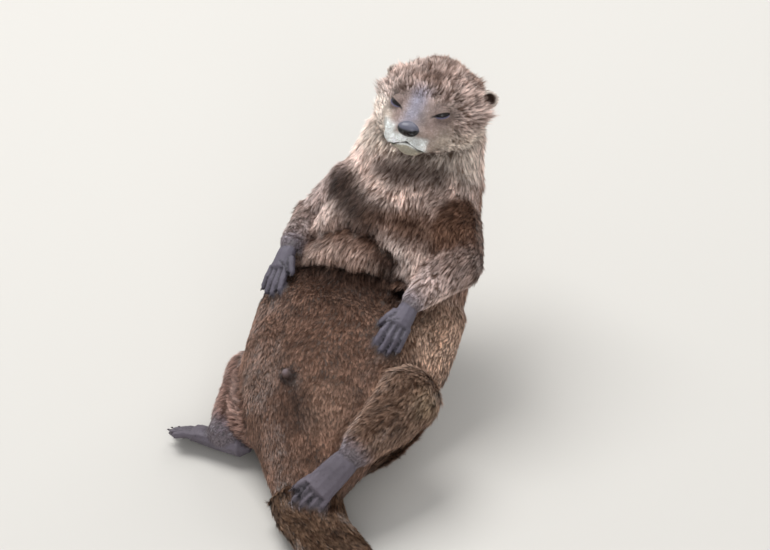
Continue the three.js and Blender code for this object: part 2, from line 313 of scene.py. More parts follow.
solid_maker = bmesh.new()
node_of_face = []
for node_index, name in enumerate(SOLIDS):
    before = len(solid_maker.faces)
    closed_copy(solid_maker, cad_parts[name])
    node_of_face += [node_index] * (len(solid_maker.faces) - before)
node_of_face = np.array(node_of_face)
solids_tree = BVHTree.FromBMesh(solid_maker)
flesh_mesh = bpy.data.meshes.new("flesh")
solid_maker.to_mesh(flesh_mesh)
solid_maker.free()
flesh = new_object("flesh", flesh_mesh)
remesh = flesh.modifiers.new("remesh", "REMESH")
remesh.mode = "VOXEL"
remesh.voxel_size = VOXEL
rough_mesh = plain_mesh(flesh)
bpy.data.objects.remove(flesh)
print("remeshed faces:", len(rough_mesh.polygons))

# %% Keep only the outer shell and divide the head and paws
PAWS = [name for name in SOLIDS if name.startswith(("hand", "foot"))]
PAW_NODES = [SOLIDS.index(name) for name in PAWS]
HEAD_NODES = [i for i, name in enumerate(SOLIDS) if name.startswith(("head", "ear", "eye", "nose"))]


def nearest_nodes(points):
    """For each point, the index of the CAD node whose surface lies nearest, and the nearest spot on it."""
    found = [solids_tree.find_nearest(p) for p in points.tolist()]
    spots = np.array([spot for spot, _, _, _ in found])
    return node_of_face[[face for _, _, face, _ in found]], spots


def largest_part(maker):
    """Deletes all but the largest connected part of a bmesh."""
    todo = set(maker.verts)
    parts = []
    while todo:
        seed = todo.pop()
        part = {seed}
        edge_of_part = [seed]
        while edge_of_part:
            vertex = edge_of_part.pop()
            for edge in vertex.link_edges:
                other = edge.other_vert(vertex)
                if other in todo:
                    todo.discard(other)
                    part.add(other)
                    edge_of_part.append(other)
        parts.append(part)
    parts.sort(key=len)
    bmesh.ops.delete(maker, geom=[v for part in parts[:-1] for v in part], context="VERTS")
    return len(parts)


def divide(maker, chosen):
    """Divides the faces whose vertices are all chosen."""
    maker.verts.ensure_lookup_table()
    edges = [e for e in maker.edges if chosen[e.verts[0].index] and chosen[e.verts[1].index]]
    bmesh.ops.subdivide_edges(maker, edges=edges, cuts=1, use_grid_fill=True)
    maker.verts.index_update()


def points_of(maker):
    """The vertices of a bmesh as an array."""
    maker.verts.ensure_lookup_table()
    return np.array([v.co for v in maker.verts])


skin_maker = bmesh.new()
skin_maker.from_mesh(rough_mesh)
shell_count = largest_part(skin_maker)
skin_maker.verts.index_update()
owner, _ = nearest_nodes(points_of(skin_maker))
forward, left, up = head_space(points_of(skin_maker))
BEHIND_EARS = -26  # the finer head ends here, in millimetres forward of the skull's centre
BELLY_DOT = np.array([-27, 3, 86])  # in millimetres, like all landmarks on the body
DOT_REACH = 14  # the finer skin round the dot
is_detailed = np.isin(owner, PAW_NODES) | np.isin(owner, HEAD_NODES) & (forward > BEHIND_EARS)
is_detailed |= np.linalg.norm(points_of(skin_maker) / MM - BELLY_DOT, axis=1) < DOT_REACH
skin_maker.to_mesh(rough_mesh)
skin_maker.free()
rough = new_object("rough skin", rough_mesh)
under_fur = rough.vertex_groups.new(name="under fur")
under_fur.add(np.nonzero(~is_detailed)[0].tolist(), 1.0, "REPLACE")
thin = rough.modifiers.new("thin", "DECIMATE")
thin.ratio = KEPT_SHARE
thin.vertex_group = "under fur"
thin.vertex_group_factor = 10  # hardly any face outside the group goes
thinned_mesh = plain_mesh(rough)
bpy.data.objects.remove(rough)

skin_maker = bmesh.new()
skin_maker.from_mesh(thinned_mesh)
forward, left, up = head_space(points_of(skin_maker))
FACE_FRONT = 16  # the face begins so many millimetres forward of the skull's centre
FACE_HALF_WIDTH = 32
FACE_MIDDLE, FACE_HALF_HEIGHT = -5, 27  # upwards from the skull's centre
on_face = (forward > FACE_FRONT) & (np.abs(left) < FACE_HALF_WIDTH)
divide(skin_maker, on_face & (np.abs(up - FACE_MIDDLE) < FACE_HALF_HEIGHT))
lid_reach = EYE_RADIUS + 3.0 * MM
places = points_of(skin_maker)
to_eye = np.min([np.linalg.norm(places - centre, axis=1) for centre in eye_centres.values()], axis=0)
divide(skin_maker, to_eye < lid_reach)
bmesh.ops.triangulate(skin_maker, faces=[f for f in skin_maker.faces if len(f.verts) > 4])
skin_mesh = bpy.data.meshes.new("skin")
skin_maker.to_mesh(skin_mesh)
skin_maker.free()
skin_mesh.polygons.foreach_set("use_smooth", [True] * len(skin_mesh.polygons))
triangles = sum(len(f.vertices) - 2 for f in skin_mesh.polygons)
print("shells:", shell_count, "skin triangles:", triangles)

# %% [markdown]
# ## What each part wears
#
# The coat is deep on the trunk and neck, shorter down the limbs, and no more than velvet on the
# face, ears, hands and feet. The skin has to lie below the solids by the depth of that coat, so a
# table gives each part its depth, and the length and width of its tufts. The values are then
# spread over the skin and smoothed, so that no edge shows where one part meets the next.

# %% The coat's measures
COAT = {
    # how a node's name starts: depth of the coat, length and width of a tuft, in millimetres
    "head": (1.2, 4.6, 1.0),
    "ear": (0.5, 1.6, 0.5),
    "eye": (0.4, 1.5, 0.6),
    "nose": (1.2, 1.5, 0.6),
    "neck": (2.8, 9.0, 1.15),
    "thorax": (2.4, 8.0, 1.05),
    "abdomen": (1.8, 5.0, 1.1),
    "tail": (2.4, 7.5, 1.4),
    "thigh": (2.4, 8.0, 1.35),
    "shank": (1.8, 6.0, 1.2),
    "foot": (0.4, 1.8, 0.36),
    "upper_arm": (2.2, 6.8, 1.1),
    "forearm": (1.6, 6.6, 1.0),
    "hand": (0.3, 1.6, 0.36),
}


def coat_of(name):
    """The coat's three measures for a node."""
    return next(sizes for part, sizes in COAT.items() if name.startswith(part))


points, ends = mesh_arrays(skin_mesh)
neighbours = np.bincount(ends.ravel(), minlength=len(points))


def around(values):
    """For each vertex, the mean of the values at its neighbours."""
    values = values.reshape(len(points), -1)
    total = np.empty_like(values)
    for i in range(values.shape[1]):
        total[:, i] = np.bincount(ends[:, 0], values[ends[:, 1], i], len(points))
        total[:, i] += np.bincount(ends[:, 1], values[ends[:, 0], i], len(points))
    return total / neighbours[:, None]


def smooth(values, rounds, weight=0.5):
    """Values blended with their neighbours' a number of times."""
    shape = values.shape
    values = values.reshape(len(points), -1).astype(float)
    weight = np.broadcast_to(weight, len(points))[:, None]
    for _ in range(rounds):
        values = values + weight * (around(values) - values)
    return values.reshape(shape)


corner_count = np.array([len(f.vertices) for f in skin_mesh.polygons])
corners = np.empty(corner_count.sum(), dtype=np.int32)
skin_mesh.loops.foreach_get("vertex_index", corners)
face_of_corner = np.repeat(np.arange(len(corner_count)), corner_count)
first_corner = np.concatenate([[0], np.cumsum(corner_count)[:-1]])
next_corner = np.arange(len(corners)) + 1
next_corner[first_corner + corner_count - 1] = first_corner


def normals_at(places):
    """Vertex normals, weighted by the areas of the faces round each vertex."""
    crossed = np.cross(places[corners], places[corners[next_corner]])
    face_normals = np.empty((len(corner_count), 3))
    for i in range(3):
        face_normals[:, i] = np.bincount(face_of_corner, crossed[:, i], len(corner_count))
    total = np.empty((len(places), 3))
    for i in range(3):
        total[:, i] = np.bincount(corners, face_normals[face_of_corner, i], len(places))
    return unit(total)


owner, spots = nearest_nodes(points)
is_paw = smooth(np.isin(owner, PAW_NODES).astype(float), 4)
is_head = smooth(np.isin(owner, HEAD_NODES).astype(float), 4)
measures = np.array([coat_of(name) for name in SOLIDS])[owner]
measures = smooth(measures, 30, 0.5 * np.clip(1 - is_paw, 0.15, 1))
CROWN_DEPTH = 2.2  # millimetres more coat on top of the head
measures[:, 0] += CROWN_DEPTH * is_head * ramp(head_space(points)[2], 24, 32)
print("vertices:", len(points), "mean coat depth in mm:", round(measures[:, 0].mean(), 2))

# %% [markdown]
# ## From faceted solids to a rounded body
#
# Plain smoothing shrinks a shape, and most of all its fingers. So each round of smoothing is
# followed by a slightly stronger step the other way, which keeps the volume and only takes off the
# corners. The paws and ears are first laid back onto the solids, where a voxel was too coarse for
# them, and then hardly smoothed. The webs between the digits are carved deeper. Last, every vertex
# sinks by its coat's depth, except that the parts which lie on the floor keep their height.

# %% Find the tip of each digit


def claw_tips(name, digits=5, apart=3 * MM):
    """The sharpest points of a paw's solid, one for each digit, and the way each one points."""
    maker = bmesh.new()
    closed_copy(maker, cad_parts[name])
    found = []
    for vertex in maker.verts:
        edges = [unit(np.array(vertex.co - e.other_vert(vertex).co)) for e in vertex.link_edges]
        mean = np.mean(edges, axis=0) if edges else np.zeros(3)
        found.append((np.linalg.norm(mean), np.array(vertex.co), unit(mean)))
    maker.free()
    tips = []
    for _, place, way in sorted(found, key=lambda item: -item[0]):
        if all(np.linalg.norm(place - other) > apart for other, _ in tips) and len(tips) < digits:
            tips.append((place, way))
    return tips


TIPS = {name: claw_tips(name) for name in PAWS}
print("digits:", {name: len(tips) for name, tips in TIPS.items()})

# %% Round the body
EAR_NODES = [i for i, name in enumerate(SOLIDS) if name.startswith("ear")]
is_fine = np.clip(is_paw + np.isin(owner, EAR_NODES), 0, 1)
TRUNK_NODES = [SOLIDS.index(name) for name in ("neck", "thorax", "abdomen")]
on_trunk = smooth(np.isin(owner, TRUNK_NODES).astype(float), 6)
body = points + (spots - points) * is_fine[:, None]
ROUNDS = 26
STEP_BACK = -1.03  # the step that undoes the shrinking, as a share of the one before it
roundness = 0.55 * (1 - 0.75 * is_fine) * (1 - 0.4 * is_head)
for _ in range(ROUNDS):
    body = smooth(body, 1, roundness)
    body = smooth(body, 1, STEP_BACK * roundness)
body = smooth(body, 14, 0.5 * on_trunk)
body = smooth(body, 5, 0.4 * (1 - 0.85 * is_fine))
body += 0.7 * smooth(is_paw, 2)[:, None] * (body - smooth(body, 8))  # crisper digits
print("mean step from the solids to the rounded body in mm:",
      round(float(np.linalg.norm(body - points, axis=1).mean() / MM), 2))

# %% Carve the webs
DIGIT_REACH = {"hand": 16 * MM, "foot": 14 * MM}  # from a claw's tip back to its heel
WEB_BACK, WEB_IN = 3.0 * MM, 1.5 * MM  # how far a web is cut back, and sunk
web = np.zeros(len(body))  # 1 midway between two digits
body_normals = normals_at(body)
for name in PAWS:
    paw_way = unit(np.mean([way for _, way in TIPS[name]], axis=0))
    digit_reach = DIGIT_REACH[name.split("_")[0]]
    mine = owner == SOLIDS.index(name)
    here = body[mine]
    away, run = [], []
    for tip_place, _ in TIPS[name]:
        heel = tip_place - paw_way * digit_reach
        t = np.clip((here - heel) @ (tip_place - heel) / digit_reach ** 2, 0, 1)
        away.append(np.linalg.norm(here - heel - t[:, None] * (tip_place - heel), axis=1))
        run.append(t)
    by_nearness = np.argsort(away, axis=0)
    nearest_two = np.take_along_axis(np.array(away), by_nearness[:2], axis=0)
    along_digit = np.take_along_axis(np.array(run), by_nearness[:1], axis=0)[0]
    between = ramp((nearest_two[1] - nearest_two[0]) / MM, 1.5, 0.2)
    web[mine] = between * ramp(along_digit, 0.25, 0.7)
    forwards = ramp(body_normals[mine] @ paw_way, 0.2, 0.7)
    body[mine] -= paw_way * (WEB_BACK * forwards * web[mine])[:, None]
body -= body_normals * (WEB_IN * web)[:, None]
print("vertices between digits:", int((web > 0.5).sum()))

# %% Sink the skin below the coat
floor_level = cad_low[2]
sunk = body - normals_at(body) * (measures[:, :1] * MM)
pressed = ramp(body[:, 2] - floor_level, 6 * MM, 0)[:, None]  # 1 where the otter lies on the floor
SKIN_GAP = 0.8 * MM  # the least height of skin above the floor, for the fur pressed under it
lifted = body + (sunk - body) * np.array([1, 1, 0])
lifted[:, 2] = np.maximum(body[:, 2], floor_level + SKIN_GAP)
skin = sunk * (1 - pressed) + lifted * pressed
print("body sunk, lowest point in mm:", round(skin[:, 2].min() / MM, 2))

# %% [markdown]
# ## The face
#
# A sleepy otter shows its eyes through two slanting slits. Each lid is the skin itself: near the
# eye it is pushed out to just over the eyeball, and inside the slit it is pushed in behind it. The
# mouth is a fine groove that runs back under the lip pads, and a shorter one joins it to the nose.
# The lips are full, the brows hang a little, and a hollow runs between the eye and the muzzle.

# %% Which way the eyes look
LID = 0.9  # thickness of a lid, in millimetres
LID_SOFTNESS = 0.5  # how gently the skin leaves the lid
BEHIND_LID = 1.2 * MM  # how far inside the eyeball's surface the skin lies in the slit
SLIT_HALF = math.radians(60)  # from the middle of the slit to a corner
SLIT_TOP, SLIT_BOTTOM = math.radians(11), math.radians(18)
GAZE_OUT, GAZE_UP = math.radians(26), math.radians(15)
SLIT_TILT = math.radians(25)  # the outer corner is the higher one


def eye_axes(side):
    """The directions out of the eye, towards its outer corner and upwards, for side 1 or -1."""
    out = HEAD_FORWARD * math.cos(GAZE_OUT) + HEAD_LEFT * side * math.sin(GAZE_OUT)
    out = unit(out * math.cos(GAZE_UP) + HEAD_UP * math.sin(GAZE_UP))
    across = unit(HEAD_LEFT * side - out * (HEAD_LEFT * side @ out))
    upward = np.cross(out, across) * side
    turned = across * math.cos(SLIT_TILT) + upward * math.sin(SLIT_TILT)
    return out, turned, np.cross(out, turned) * side


def slit_edges(across_angle):
    """How far above and below the slit's line its two lids meet the eye, as angles."""
    share = np.clip(1 - (across_angle / SLIT_HALF) ** 2, 0, 1)
    return SLIT_TOP * share ** 0.7, -SLIT_BOTTOM * share ** 0.8


print("directions out of the eyes:", [eye_axes(side)[0].round(2).tolist() for side in (1, -1)])

# %% Cup the ears
EAR_REACH = 14  # millimetres from an ear's middle to what belongs to it
EAR_HOLLOW = 3.0 * MM
skin_normals = normals_at(skin)
forward, left, up = head_space(skin)
near_head = smooth(is_head, 6)
in_ear = smooth(np.isin(owner, EAR_NODES).astype(float), 2)
cup = np.zeros(len(skin))  # 1 in the hollow of an ear
ear_rim = np.zeros(len(skin))
for side, name in ((1, "ear_left"), (-1, "ear_right")):
    facing = unit(HEAD_FORWARD * 0.8 + HEAD_LEFT * side * 0.6)
    rel = (skin - middle_of(name)) / MM
    beside_axis = np.linalg.norm(rel - (rel @ facing)[:, None] * facing, axis=1)
    close = np.linalg.norm(rel, axis=1) < EAR_REACH
    fronted = in_ear * ramp(skin_normals @ facing, -0.1, 0.35) * close
    cup = np.maximum(cup, fronted * ramp(beside_axis, 5.6, 3.6))
    ear_rim = np.maximum(ear_rim, fronted * ramp(beside_axis, 4.2, 5.6))
    skin -= facing * (EAR_HOLLOW * cup * close)[:, None]
print("vertices in the hollows of the ears:", int((cup > 0.5).sum()))

# %% Brows, cheeks and lids
bare = np.zeros(len(skin))  # where no tuft grows
dark_line = np.zeros(len(skin))  # the mouth and the rims of the lids

brow = sum(hill(forward, 20, 8) * hill(left, 19 * s, 8) * hill(up, 17, 6) for s in (1, -1))
hollow = sum(hill(forward, 36, 6) * hill(left, 15 * s, 6) * hill(up, 3, 5) for s in (1, -1))
cheek = sum(hill(forward, 12, 16) * hill(left, 34 * s, 14) * hill(up, -14, 12) for s in (1, -1))
skin += skin_normals * ((1.4 * brow - 1.6 * hollow + 1.0 * cheek) * near_head * MM)[:, None]

lid_rim = np.zeros(len(skin))
for side, name in ((1, "left"), (-1, "right")):
    out, across, upward = eye_axes(side)
    rel = skin - eye_centres[name]
    reach = np.linalg.norm(rel, axis=1)
    x, y, z = rel @ out / reach, rel @ across / reach, rel @ upward / reach
    across_angle, up_angle = np.arctan2(y, x), np.arcsin(np.clip(z, -1, 1))
    top, bottom = slit_edges(across_angle)
    close = (x > 0.1) & (reach < EYE_RADIUS + 6 * MM)
    rim = np.maximum(np.maximum(up_angle - top, bottom - up_angle), np.abs(across_angle) - SLIT_HALF)
    rim_mm = rim * EYE_RADIUS / MM
    lid_top = EYE_RADIUS + LID * MM
    pushed = lid_top + np.logaddexp(0, (reach - lid_top) / (LID_SOFTNESS * MM)) * LID_SOFTNESS * MM
    open_share = 1 - ramp(rim_mm, -0.7, 0.3)
    pushed += (EYE_RADIUS - BEHIND_LID - pushed) * open_share
    skin = np.where(close[:, None], eye_centres[name] + rel / reach[:, None] * pushed[:, None], skin)
    dark_line = np.maximum(dark_line, close * (1 - ramp(rim_mm, 0.1, 1.0)))
    below = ramp(bottom - up_angle, -0.02, 0.03) * ramp(np.abs(across_angle), SLIT_HALF, 0.7 * SLIT_HALF)
    lid_rim = np.maximum(lid_rim, close * hill(rim_mm, 0.35, 0.4) * below)
    bare = np.maximum(bare, close * (1 - ramp(rim_mm, 0.5, 1.3)))
print("vertices on the lids:", int((dark_line > 0.3).sum()))

# %% Mouth and nose
MOUTH_HALF_WIDTH = 22
MOUTH_DEPTH, LIP_GROOVE_DEPTH = 1.8, 0.9
DEPTH_IGNORED = 7  # a path may run so many millimetres under or over the skin and count as on it


def away_from(path, places=None):
    """How far each vertex lies from a path, in mm along the skin: on the head unless places are given."""
    here = np.stack(head_space(skin), axis=1) if places is None else places
    outwards = normals_at(skin)
    if places is None:
        outwards = outwards @ np.array([HEAD_FORWARD, HEAD_LEFT, HEAD_UP]).T
    best = np.full(len(here), 1e9)
    for away in off_path(path, here):
        depth = (away * outwards).sum(axis=1, keepdims=True)
        away -= outwards * np.clip(depth, -DEPTH_IGNORED, DEPTH_IGNORED)
        best = np.minimum(best, np.linalg.norm(away, axis=1))
    return best


def mouth_height(t):
    """How high the line of the mouth lies, from its middle at 0 to a corner at 1."""
    return -15.3 - 4.5 * t ** 0.9


def mouth_path(side):
    """The line of the mouth from its middle to a corner, as points forward, left and up."""
    steps = np.linspace(0, 1, 12)
    return [(51 - 19 * t ** 1.6, side * MOUTH_HALF_WIDTH * t, mouth_height(t)) for t in steps]


NOSE_CENTRE = (49.6, 0, -2.2)
inside_pad = (np.stack(head_space(skin), axis=1) - NOSE_CENTRE) / (6.6, 8.6, 6.4)
inside_pad = ramp(np.linalg.norm(inside_pad, axis=1), 1.15, 0.8)
skin -= (skin - on_head(46, 0, -2)) * (0.35 * inside_pad)[:, None]
bare = np.maximum(bare, ramp(inside_pad, 0.0, 0.5))
to_mouth = np.minimum(away_from(mouth_path(1)), away_from(mouth_path(-1)))
to_groove = away_from([(54, 0, -8), (52, 0, -12.6)])
skin_normals = normals_at(skin)
cut_mm = MOUTH_DEPTH * hill(to_mouth, 0, 1.0) + LIP_GROOVE_DEPTH * hill(to_groove, 0, 0.7)
skin -= skin_normals * (cut_mm * MM)[:, None]
dark_line = np.maximum(dark_line, np.maximum(ramp(to_mouth, 1.7, 0.7), 0.7 * hill(to_groove, 0, 0.6)))
over_mouth = up > mouth_height(np.abs(left) / MOUTH_HALF_WIDTH)
bare = np.maximum(bare, np.where(over_mouth, ramp(to_mouth, 2.8, 2.1), ramp(to_mouth, 1.4, 0.8)))
print("vertices on the lids and mouth:", int((dark_line > 0.3).sum()))

# %% [markdown]
# ## Folds and the dot on the belly
#
# A well-fed otter that slumps like this folds across the chest. One crease runs under the ribs, and
# a roll of belly lies between it and a second, darker one. Low on the belly there is a small bare
# dot, with a shallow groove below it. All of these are pushed in or out of the skin itself, so that
# the fur over them bends with them.

# %% Folds, dot and groove
GROOVE = [(-22, -3, 84.5), (-14, -14, 78), (-5.6, -25, 69.6)]
CHEST_FOLD = [(-50, 126, 120), (-37, 121, 136), (-20, 117, 144), (-4, 112, 146), (9, 107, 142),
              (19, 102, 138), (28, 98, 131), (34, 91, 122)]
BELLY_CREASE = [(-55, 103, 106), (-38, 95, 118), (-21, 88, 123), (-6, 85, 126), (7, 86, 126),
                (23, 86, 124), (33, 87, 116)]
TAILWARD = np.array([0, -0.8, -0.6])
DOT_RADIUS, DOT_HEIGHT, GROOVE_DEPTH = 3.5, 4.6, 1.3
FOLD_DEPTH, CREASE_DEPTH = 6.5, 5.0
FAR = 99  # stands for a vertex too far away to count

skin_mm = skin / MM
skin_normals = normals_at(skin)


def along_skin(way):
    """What is left of an arrow at each vertex when its part out of the skin is taken away."""
    return way - skin_normals * (way * skin_normals).sum(axis=1, keepdims=True)


off_dot = skin_mm - BELLY_DOT
to_dot = np.linalg.norm(along_skin(off_dot), axis=1)
to_dot = np.where(np.linalg.norm(off_dot, axis=1) < 20, to_dot, FAR)
to_belly_groove = away_from(GROOVE, skin_mm)
out_mm = DOT_HEIGHT * np.exp(-(to_dot / DOT_RADIUS) ** 4) - GROOVE_DEPTH * hill(to_belly_groove, 0, 7)
on_dot = hill(to_dot, 0, 4)
bare = np.maximum(bare, ramp(to_dot, 5.5, 3.0))


def beside(path, downward):
    """How far each vertex lies from a path along the skin, in mm, above 0 on the downward side."""
    best = np.full(len(skin_mm), 1e9)
    signed = best.copy()
    for away in off_path(path, skin_mm):
        away = along_skin(away)
        distance = np.linalg.norm(away, axis=1)
        signed = np.where(distance < best, np.where(away @ downward > 0, distance, -distance), signed)
        best = np.minimum(best, distance)
    return signed


on_front = on_trunk * ramp(skin_normals[:, 2], 0.1, 0.35)
from_fold = beside(CHEST_FOLD, TAILWARD)
from_crease = beside(BELLY_CREASE, TAILWARD)
fold = np.where(from_fold > 0, hill(from_fold, 0, 9), hill(from_fold, 0, 1.6))
crease = np.where(from_crease > 0, hill(from_crease, 0, 3.0), hill(from_crease, 0, 2.0))
out_mm -= (FOLD_DEPTH * fold + CREASE_DEPTH * crease) * on_front
skin += skin_normals * (out_mm * MM)[:, None]
print("vertices on the dot:", int((on_dot > 0.3).sum()))

# %% [markdown]
# ## Which way the coat lies
#
# Hair grows away from the nose over the face, runs back over the crown, down the neck and trunk to
# the tail, and down each limb to its toes. So each solid hands on the direction to the next one,
# and the head takes the direction away from the nose. The arrows are smoothed over the skin and
# turned a little by a slow, random wave, because wet fur never lies quite straight.

# %% The lie of the coat
NEXT = {"neck": "thorax", "thorax": "abdomen", "abdomen": "tail_base", "tail_base": "tail_middle",
        "tail_middle": "tail_tip"}
LIMBS = (("upper_arm", "forearm", "hand"), ("thigh", "shank", "foot"))
for side in ("left", "right"):
    for upper, lower in [pair for limb in LIMBS for pair in zip(limb[:-1], limb[1:])]:
        NEXT[f"{upper}_{side}"] = f"{lower}_{side}"
BEFORE = {lower: upper for upper, lower in NEXT.items()}


def lie_of(name):
    """The direction in which the coat of a solid runs."""
    if name in NEXT:
        return unit(middle_of(NEXT[name]) - middle_of(name))
    if name in BEFORE:
        return unit(middle_of(name) - middle_of(BEFORE[name]))
    return -HEAD_FORWARD


random = np.random.default_rng(7)  # the same otter at every run


def wave(places, size, count=14):
    """A smooth random value from about -1 to 1, whose hills are about so many metres apart."""
    total = np.zeros(len(places))
    for direction, phase in zip(unit(random.normal(size=(count, 3))), random.uniform(0, 6.3, count)):
        total += np.sin(places @ direction * (6.3 / size) * random.uniform(0.6, 1.4) + phase)
    return total / math.sqrt(count / 2) / 1.5


skin_normals = normals_at(skin)
lie = np.array([lie_of(name) for name in SOLIDS])[owner]
nose_tip = on_head(54, 0, -4)
on_skull = np.isin(owner, HEAD_NODES)
lie[on_skull] = unit(unit(skin[on_skull] - nose_tip) * 1.0 - HEAD_FORWARD * 0.35)
KNEE = np.array([62, -2, 90])  # the coat of the left thigh fans out from here
KNEE_REACH = 34
from_knee = skin / MM - KNEE
round_knee = hill(np.linalg.norm(from_knee, axis=1), 0, KNEE_REACH) * (owner == SOLIDS.index("thigh_left"))
round_knee = round_knee[:, None]
lie = unit(lie * (1 - round_knee) + unit(from_knee) * round_knee * 3)
is_ear = np.isin(owner, EAR_NODES)
lie[is_ear] = unit(skin[is_ear] - HEAD_CENTRE)
lie = smooth(lie, 30, 0.5 * (1 - 0.6 * is_paw))
lie = unit(along_skin(lie))
forward, left, up = head_space(skin)
crown = near_head * ramp(up, 14, 30) * ramp(forward, 36, 20)
turn = 0.30 * wave(skin, 45 * MM) + (0.12 + 0.4 * crown) * wave(skin, 14 * MM)
sideways = np.cross(skin_normals, lie)
lie = lie * np.cos(turn)[:, None] + sideways * np.sin(turn)[:, None]
print("mean lie on the belly:", lie[owner == SOLIDS.index("abdomen")].mean(axis=0).round(2))

# %% [markdown]
# ## Markings and painted shade
#
# The coat is a warm dark brown, paler and greyer on the neck, throat and cheeks, and nearly white
# on the lips. The bridge of the muzzle, the hands and the feet are slate grey. Each marking is a
# soft patch on the skin, and so is the painted shade under the chin, in the armpits, round the
# hands, between the digits, round the dot and in the folds, and the painted light on the left
# flank. All are painted one over the other in a colour attribute that both the skin's material and
# the fur's read, so that the two always agree.

# %% Paint the body
OUTER_THIGH = (84, 8, 84)
LEFT_FLANK = (68, 76, 82)
LOW_BELLY = (11, -15, 78)
BELOW_DOT = (-24, -20, 70)
DEEPEST_CREASE = (22, 96, 128)
markings_light_and_shade = np.tile(linear("#745747")[:3], (len(skin), 1))


def paint(amount, hex_colour):
    """Blends a colour into the markings, painted light and shade, by an amount at each vertex."""
    share = np.clip(amount, 0, 1)[:, None]
    markings_light_and_shade[:] = markings_light_and_shade * (1 - share) + np.array(linear(hex_colour)[:3]) * share


def on_nodes(*parts, rounds=12):
    """How far each vertex belongs to the solids whose names start so, with soft edges."""
    chosen = [i for i, name in enumerate(SOLIDS) if name.startswith(parts)]
    return smooth(np.isin(owner, chosen).astype(float), rounds)


def along(path, radius):
    """A soft stripe along a path of landmarks given in millimetres."""
    best = np.min([np.linalg.norm(away, axis=1) for away in off_path(path, skin / MM)], axis=0)
    return ramp(best, 2.1 * radius, 0.4 * radius)


def around_spot(spot, radius):
    """A soft patch round a landmark given in millimetres."""
    return hill(np.linalg.norm(skin / MM - np.array(spot), axis=1), 0, radius)


def is_of(name):
    """1 at each vertex that belongs to a solid, else 0."""
    return (owner == SOLIDS.index(name)).astype(float)


mottle = wave(skin, 30 * MM)
TRUNK_UP = unit(np.array([0, -0.45, 1]))  # from the backbone towards the belly
pale_side = ramp(skin_normals @ TRUNK_UP, -0.75, 0.05)

# tail and limbs
paint(0.8 * on_nodes("tail"), "#54402f")
paint(0.8 * on_nodes("thigh_left", "shank_left"), "#725a49")
paint(0.5 * around_spot(OUTER_THIGH, 12), "#b39a78")
paint(0.7 * on_nodes("shank_right", "thigh_right"), "#83675c")
paint(0.8 * on_nodes("upper_arm_left"), "#5f4537")
paint(0.85 * on_nodes("forearm"), "#a79790")
paint(0.8 * on_nodes("upper_arm_right") * (0.4 + 0.6 * pale_side), "#a6948b")

# the pale front from the neck to the fold, the roll below it, the flank with painted light, and the belly
chest = on_nodes("thorax", rounds=30) * ramp(from_fold, 2, -12) * on_front
paint(0.8 * on_nodes("neck", rounds=30) * pale_side + 0.85 * chest * (0.85 + 0.2 * mottle), "#d8c3b5")
roll = on_front * ramp(from_fold, 6, 18) * ramp(from_crease, -2, -10)
paint(0.6 * roll, "#b09a8c")
arch = hill(from_fold, -5, 5) * on_front * ramp(skin[:, 0] / MM, -5, 15)
paint(0.7 * arch, "#c2b2a7")
# a pale patch on the left flank: partly the coat's own paler tone, partly painted light that lifts the shade
# of the arm
paint(0.92 * around_spot(LEFT_FLANK, 32), "#dfbda2")
paint(0.6 * around_spot(LOW_BELLY, 22), "#9b7d6a")
paint(0.5 * around_spot(BELOW_DOT, 26), "#573e32")
print("body painted, mean linear:", markings_light_and_shade.mean(axis=0).round(3))

# %% Paint the head, and the shade where the chin and the arms meet the chest
paint(on_nodes("head", "eye", "nose", "ear"), "#a99488")
paint(0.8 * near_head * ramp(forward, 2, -16), "#84695a")
throat = on_nodes("neck", rounds=20) * ramp(skin_normals @ HEAD_FORWARD, -0.2, 0.5)
paint(0.6 * throat, "#bcb1a2")

UNDER_CHIN = [(-8, 157, 174), (6, 154, 175), (25, 158, 176), (34, 161, 174)]
RIGHT_ARMPIT = [(-36, 148, 152), (-25, 139, 152), (-14, 129, 150), (-5, 124, 150)]
MID_CHEST = [(-5, 124, 150), (8, 123, 151), (16, 125, 151)]
LEFT_ARMPIT = [(20, 125, 150), (32, 126, 148), (46, 129, 146), (58, 133, 147), (61, 146, 150)]
paint(0.8 * along(UNDER_CHIN, 7), "#3f2e26")
paint(0.95 * along(RIGHT_ARMPIT, 11), "#33221a")
paint(0.7 * along(MID_CHEST, 6), "#5b4437")
paint(0.92 * along(LEFT_ARMPIT, 11), "#624737")

brow_part = near_head * hill(forward, 20, 4) * hill(left, -1, 9) * ramp(up, 20, 26)
paint(0.6 * brow_part, "#5b463a")
wet_clumps = near_head * ramp(up, 10, 20) * ramp(wave(skin, 9 * MM), 0.25, 0.9)
paint(0.6 * wet_clumps, "#5d4335")
muzzle_bridge = near_head * hill(left, -2, 8) * ramp(forward, 22, 32) * ramp(up, -6, -1)
paint(0.9 * muzzle_bridge, "#a09dab")
muzzle_side = near_head * hill(forward, 38, 9) * hill(np.abs(left), 15, 7) * ramp(up, -13, -5)
paint(0.6 * muzzle_side, "#a18c86")
cheek_patch = near_head * ramp(up, 4, -10) * ramp(np.abs(left), 12, 24)
paint(0.75 * cheek_patch, "#c6b8a8")
right_cheek = near_head * ramp(-left, 14, 22) * ramp(up, 14, 2) * ramp(forward, 6, 16)
paint(0.85 * right_cheek, "#d0c1b2")

lips = near_head * ramp(forward, 38, 43) * ramp(up, -5, -9) * ramp(np.abs(left), 17, 12)
lips = np.maximum(lips, near_head * ramp(forward, 30, 38) * ramp(-left, 8, 12) * ramp(up, 0, -5))
paint(0.95 * lips, "#eef0ec")
below_mouth = to_mouth * np.sign(mouth_height(np.abs(left) / MOUTH_HALF_WIDTH) - up)
chin = near_head * ramp(forward, 34, 41) * ramp(below_mouth, -0.3, 0.6) * ramp(np.abs(left), 16, 11)
paint(0.9 * chin, "#bdb5a0")
above_nose = near_head * hill(left, 1, 5) * hill(forward, 47, 4) * hill(up, 5.5, 3.5)
paint(0.7 * above_nose, "#7c6655")

